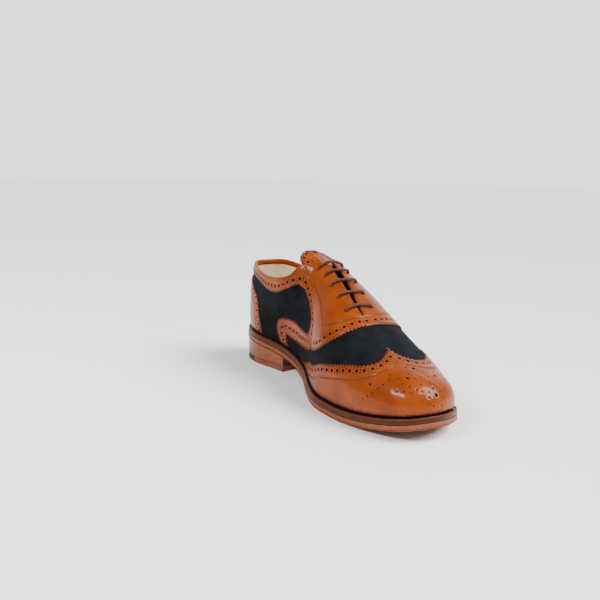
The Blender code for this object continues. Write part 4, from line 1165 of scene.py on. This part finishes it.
runs, rows, seams, dots = [], [], [], []
for side in (-1, 1):
    collar = [(t, 1.0) for t in np.linspace(BAND_END, THROAT_TOP, 25)]
    throat = [(t, 1.0) for t in np.linspace(THROAT_TOP, THROAT_FOOT, 16)]
    foot = [CURL_HOOK[-1], ((CURL_HOOK[-1][0] + CURL_OUTER[0][0]) / 2, PANEL_FOOT), CURL_OUTER[0]]
    back_end = [BAND_LOW[-1], (BAND_END, 0.95), collar[0]]
    lines = [(FACING_FRONT, True), (CURL_INNER, True), (CURL_HOOK, True), (foot, False), (CURL_OUTER, True)]
    lines += [(FACING_BACK, True), (BAND_LOW, True), (back_end, False), (collar, False), (throat, False)]
    lines = [(vamp.edge(side, spots), teeth) for spots, teeth in lines]
    runs += lines if side < 0 else [(line[::-1], teeth) for line, teeth in lines[::-1]]
    rows += [vamp.edge(side, FRONT_ROW[side > 0 :]), vamp.edge(side, CURL_ROW)[1:], vamp.edge(side, BACK_ROW)]
    seams += [vamp.edge(side, FACING_SEAM), vamp.edge(side, FRONT_SEAM)]
    dots += [(vamp.edge(side, [(t, eyelet_share(side, t))])[0], EYELET) for t in EYELETS]
    along = np.linspace(THROAT_FOOT + 0.12, THROAT_TOP - 0.1, 40)
    girth = np.interp(along, last.T, last.girth[int(side > 0)])
    for inset in (THROAT_SEAM, THROAT_SEAM + 2 * SEAM_APART):
        sewn_lines.append(last.at(side, along, 1 - inset / girth))
sewn = panel("facing_calf", vamp, runs, rows, seams, dots, calf, ["facing"])
seam_stitches(vamp, sewn)
seam_stitches(vamp, seams, SEAM_APART)

# Heel counter: the tan piece round the heel, its front edge pinked and punched, plain and glossy behind.
COUNTER = [(11.62, PANEL_FOOT), (11.80, 0.183), (12.15, 0.433), (12.50, 0.620)]
COUNTER += [(13.10, 0.730), (14.00, 0.790), (BACK, 0.81)]
COUNTER_ROW, COUNTER_SEAM = 0.0052, 0.0105  # from the edge in
front_edge = {side: heel.edge(side, COUNTER) for side in (-1, 1)}
foot = [(t, PANEL_FOOT) for t in np.linspace(COUNTER[0][0], BACK, 9)]
welt_line = np.concatenate([heel.edge(-1, foot)[:-1], heel.edge(1, foot[::-1])])
top_line = np.concatenate([front_edge[1], front_edge[-1][::-1][1:]])
line = through(heel, top_line, EDGE_STEP)
way = 1 if line[0, 0] > line[-1, 0] else -1
rows = [aside(heel, line, way * COUNTER_ROW)[3:-3]]
seams = [aside(heel, line, way * COUNTER_SEAM)[4:-4]]
runs = [(welt_line, False), (top_line, True)]
sewn = panel("counter_calf", heel, runs, rows, seams, [], calf, ["heel_counter"])
seam_stitches(heel, sewn)
seam_stitches(heel, seams, SEAM_APART)
stitches("panel_stitches", sewn_lines, *TOP_STITCH, top_thread, "tan_calf")

# Collar edge: the band is turned over the top of the quarter and sewn to the lining, which leaves a soft
# round rim from one side of the throat, round the heel and back.
ROLL = LINING / 2


def collar_edge():
    """Rim over the collar, a closed round section along the crest from throat to throat."""
    t = np.linspace(THROAT_TOP + 0.06, BACK, 150)
    path = np.concatenate([t, t[::-1][1:]])
    side = np.concatenate([np.full(len(t), -1), np.full(len(t) - 1, 1)])
    points, normals = last.at(side, path, np.ones(len(path)))
    below = last.at(side, path, np.full(len(path), 0.97))[0]
    up = unit(points - below)
    ends = np.minimum(np.arange(len(path)), np.arange(len(path))[::-1])
    taper = np.clip(0.25 + ends / 5, 0, 1) ** 0.5
    turns = np.linspace(0, np.pi, 11)
    arc = [(-ROLL * (1 - math.cos(a)), ROLL * math.sin(a)) for a in turns]
    inner = [(-2 * ROLL - 0.00025, -0.0008), (-2 * ROLL - 0.0003, -0.0034), (-2 * ROLL + 0.0004, -0.0040)]
    section = [(0.00006, 0.0)] + arc[1:] + inner + [(-ROLL, -0.0020), (0.0, -0.0012), (0.00006, 0.0)]
    grid = [points + normals * out + up * rise * (taper[:, None] if rise > 0 else 1) for out, rise in section]
    return np.stack(grid, axis=1)


rim = collar_edge()
bm = block(rim, share=np.full(rim.shape[:2], 0.9), crease=np.zeros(rim.shape[:2]))
piece("collar_rim", bm, calf, sharp=60)

# Tongue: a strap of suede under the facings, sewn in below the throat, faced with tan calf at its free end,
# which is pinked round and punched like the panels and stands up behind the laces.
TONGUE = 0.0016
TONGUE_CLEAR = 0.0014
TONGUE_FREE = 0.0300
TONGUE_WIDTH = 0.0500
TONGUE_FRONT = 4.9
TONGUE_SIDE = 9.7
TONGUE_CORNER = 0.6
TONGUE_LEAN = (18, 10)
TAB_RISE = 0.0045  # how far the free end curls up, and how much it spreads there
TAB_FLARE = 0.14
TAB_ASIDE = 0.0030  # how far it leans to the inner side
TONGUE_DEPTH = LINING + TONGUE_CLEAR
UNDER, FREE = 44, 16  # steps under the facings and behind them


def tongue_line(share):
    """Line down the tongue at a share of its half width, from under the vamp to its free end."""
    side = -1 if share < 0 else 1
    share = abs(share)
    end = THROAT_TOP + (TONGUE_SIDE - THROAT_TOP) * share
    stations = np.linspace(TONGUE_FRONT, end, UNDER)
    girth = np.interp(stations, last.T, last.girth[int(side > 0)])
    narrow = 0.7 + 0.3 * (stations - TONGUE_FRONT) / (end - TONGUE_FRONT)
    meet = 1 - np.clip((stations - THROAT_TOP + 1) / (end - THROAT_TOP + 1), 0, 1) ** 2
    shares = 1 - share * TONGUE_WIDTH / 2 * narrow * meet / girth
    line = (crest(-1, stations)[0] + crest(1, stations)[0]) / 2
    if share:
        line = last.at(side, stations, shares)[0]
    back = TONGUE_FREE * (TONGUE_CORNER + (1 - TONGUE_CORNER) * np.sqrt(1 - share**2.5))
    length = back - crest(side, THROAT_TOP)[0][0] + line[-1][0]
    lean = np.tan(np.radians(np.interp(np.arange(FREE), (0, FREE - 1), TONGUE_LEAN)))
    steps = np.column_stack([-np.ones(FREE), np.zeros(FREE), lean]) * length / FREE
    return np.concatenate([line, line[-1] + np.cumsum(steps, axis=0)])


class TongueSheet:
    """The tongue's face laid flat: X across in metres, Y along it in steps of its own grid."""

    def __init__(self, raise_by):
        grid = np.array([tongue_line(share) for share in np.linspace(-1, 1, 61)])
        free = np.clip((np.arange(UNDER + FREE) - UNDER + 4) / (FREE + 3), 0, 1)
        grid[..., 2] += TAB_RISE * free**2
        middle = grid[len(grid) // 2, :, 1]
        grid[..., 1] = middle + (grid[..., 1] - middle) * (1 + TAB_FLARE * free) - TAB_ASIDE * free**2
        self.normals = unit(np.cross(np.gradient(grid, axis=0), np.gradient(grid, axis=1)))
        self.points = grid + self.normals * (raise_by - TONGUE_DEPTH)
        length = np.linalg.norm(np.diff(grid, axis=1), axis=2)[len(grid) // 2].sum()
        self.size = np.array([TONGUE_WIDTH, length])

    def lift(self, plane):
        rows, columns = self.points.shape[:2]
        row = np.clip(plane[:, 0] / self.size[0] + 0.5, 0, 1) * (rows - 1)
        column = np.clip(plane[:, 1] / self.size[1], 0, 1) * (columns - 1)
        i, j = np.minimum(row.astype(int), rows - 2), np.minimum(column.astype(int), columns - 2)
        f, g = (row - i)[:, None], (column - j)[:, None]
        found = []
        for field in (self.points, self.normals):
            near = field[i, j] * (1 - g) + field[i, j + 1] * g
            far = field[i + 1, j] * (1 - g) + field[i + 1, j + 1] * g
            found.append(near * (1 - f) + far * f)
        return found[0], unit(found[1]), np.full((len(plane), 2), 0.8)


tongue = TongueSheet(0.0)
width, length = tongue.size
SHOULDER, TIP, ROUND = length * 0.80, length * 0.995, 3.2  # where its end starts to round in, and how
along, across = np.meshgrid(np.linspace(0, 0.976, 61), np.linspace(-0.5, 0.5, 41))
reach = np.clip((along * length - SHOULDER) / (TIP - SHOULDER), 0, 1)
across = across * (1 - reach**ROUND) ** (1 / ROUND) * (1 - 0.08 * np.clip(along * 4 - 2, 0, 1))
flat = np.column_stack([across.ravel() * width, along.ravel() * length])
bm = bmesh.new()
grid_of(bm, tongue.lift(flat)[0].reshape(*along.shape, 3))
strap = piece("tongue_suede", bm, suede, ["tongue"], sharp=60)
if strap.data.polygons[len(strap.data.polygons) // 2].normal.z < 0:
    strap.data.flip_normals()
thicken(strap, TONGUE)
tab = TongueSheet(0.0009)
tab_foot = length * 0.62
HALF = width / 2 * 0.99
around = []
for turn in np.radians(np.linspace(4, 176, 17)):
    bend = abs(math.cos(turn)) ** (2 / ROUND), math.sin(turn) ** (2 / ROUND)
    around.append((-math.copysign(HALF * bend[0], math.cos(turn)), SHOULDER + (TIP - SHOULDER) * bend[1]))
runs = [
    (np.array([(HALF, tab_foot), (HALF, (tab_foot + SHOULDER) / 2), around[-1]]), True),
    (np.array(around[::-1]), True),
    (np.array([around[0], (-HALF, (tab_foot + SHOULDER) / 2), (-HALF, tab_foot)]), True),
    (np.array([(-HALF, tab_foot), (0, tab_foot), (HALF, tab_foot)]), False),
]
inset = 0.0050
row = [(HALF - inset, tab_foot + 0.004), (HALF - inset, SHOULDER)]
for k in range(14, 1, -2):
    x, y = around[k]
    row.append((x * (1 - inset / HALF), y - inset * math.sin(math.pi * k / 16)))
row += [(-HALF + inset, SHOULDER), (-HALF + inset, tab_foot + 0.004)]
inner = [(x * 0.70, tab_foot + (y - tab_foot) * 0.86) for x, y in row]
sewn = panel("tongue_tab", tab, runs, [np.array(row)], [np.array(inner)], [], calf)
lines = [tab.lift(line)[:2] for line in sewn]
stitches("tongue_stitches", lines, *TOP_STITCH, top_thread, "tan_calf")

# Laces: one round cord of waxed cotton through five pairs of blind eyelets, in straight bars over the gap
# with its runs hidden under the facings. Its two ends stop under the top eyelets.
LACE = 0.0026
LACE_LIFT = 0.0006
HIDDEN = 0.0011  # radius where the leather presses it flat
waxed, tree, shader, place = finish("waxed cotton lace", Roughness=0.6, Specular_IOR_Level=0.3)
along = add(tree, "Attribute", {"attribute_name": "along"}, {}).outputs["Fac"]
turned = add(tree, "Attribute", {"attribute_name": "turned"}, {}).outputs["Fac"]
strands = []
for way in (-1, 1):
    twist = {0: along, 1: way * per_mm(2.0), 2: turned}
    sum_ = add(tree, "Math", {"operation": "MULTIPLY_ADD"}, twist).outputs[0]
    wave = add(tree, "Math", {"operation": "MULTIPLY"}, {0: sum_, 1: 8 * math.pi}).outputs[0]
    strands.append(add(tree, "Math", {"operation": "SINE"}, {0: wave}).outputs[0])
braid = add(tree, "Math", {"operation": "MAXIMUM"}, {0: strands[0], 1: strands[1]}).outputs[0]
# Painted shade: the cord is darker where its strands dip and lighter on their crowns, following the braid's
# bump.
braid_shade = add(tree, "ValToRGB", {"stops": [(0.2, "#34160A"), (0.9, "#5E2E16")]}, {"Fac": braid}).outputs[0]
bump = add(tree, "Bump", {}, {"Height": braid, "Distance": 0.00012, "Strength": 0.7})
connect(tree, shader, Base_Color=braid_shade, Normal=bump.outputs[0])


def eyelet_stop(side, number, depth, along=0.0):
    """Place of an eyelet under or over the leather, moved along the row by a part of a station."""
    t = np.array([EYELETS[number] + along])
    return last.at(side, t, np.array([eyelet_share(side, t[0])]), depth)[0][0]


def bar(number, side):
    """Lace up through an eyelet, over the facings and the gap, and down through the one across from it."""
    t = EYELETS[number]
    path = [(eyelet_stop(side, number, 0.0030), HIDDEN), (eyelet_stop(side, number, 0.0008), LACE / 2)]
    lift = -(LACE / 2 + LACE_LIFT)
    for part in (0.22, 0.5, 0.8, 1.0):
        share = eyelet_share(side, t)
        share += (1 - share) * part
        path.append((last.at(side, np.array([t]), np.array([share]), lift)[0][0], LACE / 2))
    for part in (1.0, 0.8, 0.5, 0.22):
        share = eyelet_share(-side, t)
        share += (1 - share) * part
        path.append((last.at(-side, np.array([t]), np.array([share]), lift)[0][0], LACE / 2))
    path += [(eyelet_stop(-side, number, 0.0008), LACE / 2), (eyelet_stop(-side, number, 0.0030), HIDDEN)]
    return path


def hidden(side, first, second):
    """Run of the lace under a facing from one eyelet to another."""
    places = []
    for part in (0.12, 0.5, 0.88):
        t = np.array([EYELETS[first] + (EYELETS[second] - EYELETS[first]) * part])
        places.append((last.at(side, t, np.array([eyelet_share(side, t[0])]), 0.0044)[0][0], HIDDEN / 1.6))
    return places


path = hidden(1, 0, 1)[::-1][:1] + bar(1, 1) + hidden(-1, 1, 3) + bar(3, -1) + hidden(1, 3, 4)
path += bar(4, 1) + hidden(-1, 4, 2) + bar(2, -1) + hidden(1, 2, 0) + bar(0, 1)
knots = np.array([(*point, radius) for point, radius in path])
fine = spline(knots, np.linspace(0, len(knots) - 1, 14 * len(knots)))
fine = route(fine, 0.0006)
ahead = unit(np.gradient(fine[:, :3], axis=0))
across = [np.cross(ahead[0], (0.1, 0.2, 1.0))]
for way in ahead[1:]:
    across.append(unit(across[-1] - way * np.dot(across[-1], way)))
across = np.array(across)
up = np.cross(ahead, across)
turns = np.linspace(0, 2 * np.pi, 13)
tube = [fine[:, :3] + (across * math.cos(a) + up * math.sin(a)) * fine[:, 3:] for a in turns]
length = walked(fine[:, :3])
shape = np.stack(tube, axis=1)
along, turned = np.meshgrid(length, turns / (2 * np.pi), indexing="ij")
bm = block(shape, along=along, turned=turned)
piece("lace", bm, waxed, [f"lace_bar_{number}" for number in range(1, 6)], sharp=80)

# Floor: a plain pale sweep of paper, wide enough for every view.
paper = finish("pale backdrop paper", Roughness=0.9, Base_Color=linear("#F8F8F7"))[0]
bm = bmesh.new()
bmesh.ops.create_grid(bm, x_segments=1, y_segments=1, size=6.0)
mesh = bpy.data.meshes.new("floor")
bm.to_mesh(mesh)
bm.free()
mesh.materials.append(paper)
floor = bpy.data.objects.new("floor", mesh)
bpy.context.collection.objects.link(floor)
floor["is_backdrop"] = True

# Lights: a broad soft sun from the outer side, which lays the shadow to the left of the toe, a soft box over
# the camera's side, a small window that shows in the toe's gloss, and a dim room with a bright backdrop.
BACKDROP = (-0.86, 0.50, 0.0)  # the way that the backdrop lies
world = bpy.data.worlds.new("studio room")
world.use_nodes = True
tree = world.node_tree
way = add(tree, "TexCoord", {}, {}).outputs["Generated"]
facing = add(tree, "VectorMath", {"operation": "DOT_PRODUCT"}, {0: way, 1: BACKDROP}).outputs["Value"]
span = {"Value": facing, "From Min": 0.62, "From Max": 0.88, "To Min": 0.4, "To Max": 2.1}
lit = add(tree, "MapRange", {"interpolation_type": "SMOOTHSTEP"}, span)
tree.links.new(lit.outputs[0], tree.nodes["Background"].inputs["Strength"])
tree.nodes["Background"].inputs["Color"].default_value = linear("#FBFBFC")
bpy.context.scene.world = world
aim = Vector((0.03, 0.0, 0.05))
for kind, name, place, size, watts in (
    ("SUN", "soft sun", (0.62, 0.80, 1.20), None, 6.2),
    ("AREA", "box over the camera", (0.26, -0.98, 0.86), (0.55, 0.28), 16.0),
    ("AREA", "window over the toe", (0.98, 0.42, 0.66), (0.09, 0.13), 2.8),
):
    lamp = bpy.data.lights.new(name, kind)
    lamp.energy = watts
    if size:
        lamp.shape = "RECTANGLE"
        lamp.size, lamp.size_y = size
    else:
        lamp.angle = math.radians(38)
    light = bpy.data.objects.new(name, lamp)
    light.location = place
    light.rotation_euler = (aim - Vector(place)).to_track_quat("-Z", "Y").to_euler()
    bpy.context.collection.objects.link(light)

# Camera: over the toe's medial side, as in the picture, a little above the shoe and rolled by a hair.
AZIMUTH, ELEVATION, ROLL_ANGLE = math.radians(59.77), math.radians(10.697), math.radians(1.785)
DISTANCE = 0.671
SLIDE = (-0.0358, 0.0312)  # to the right and up, from the line to the middle of the shoe
FOCAL = 731.5  # pixels of the 600 pixel frame
SENSOR = 36.0
target = Vector((0.15 - CENTRE[0], -CENTRE[1], 0.05))
back = Vector((
    math.sin(AZIMUTH) * math.cos(ELEVATION),
    -math.cos(AZIMUTH) * math.cos(ELEVATION),
    math.sin(ELEVATION),
))
right = Vector((0, 0, 1)).cross(back).normalized()
upward = back.cross(right)
right, upward = (
    right * math.cos(ROLL_ANGLE) + upward * math.sin(ROLL_ANGLE),
    upward * math.cos(ROLL_ANGLE) - right * math.sin(ROLL_ANGLE),
)
lens = bpy.data.cameras.new("camera")
lens.sensor_width = SENSOR
lens.lens = FOCAL / 600 * SENSOR
lens.clip_start = 0.01
camera = bpy.data.objects.new("camera", lens)
turn = Matrix((right, upward, back)).transposed().to_4x4()
stand = target + back * DISTANCE + right * SLIDE[0] + upward * SLIDE[1]
camera.matrix_world = Matrix.Translation(stand) @ turn
bpy.context.collection.objects.link(camera)
bpy.context.scene.camera = camera

size = {"cad": cad_box, "visual": [list(corner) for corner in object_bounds()]}
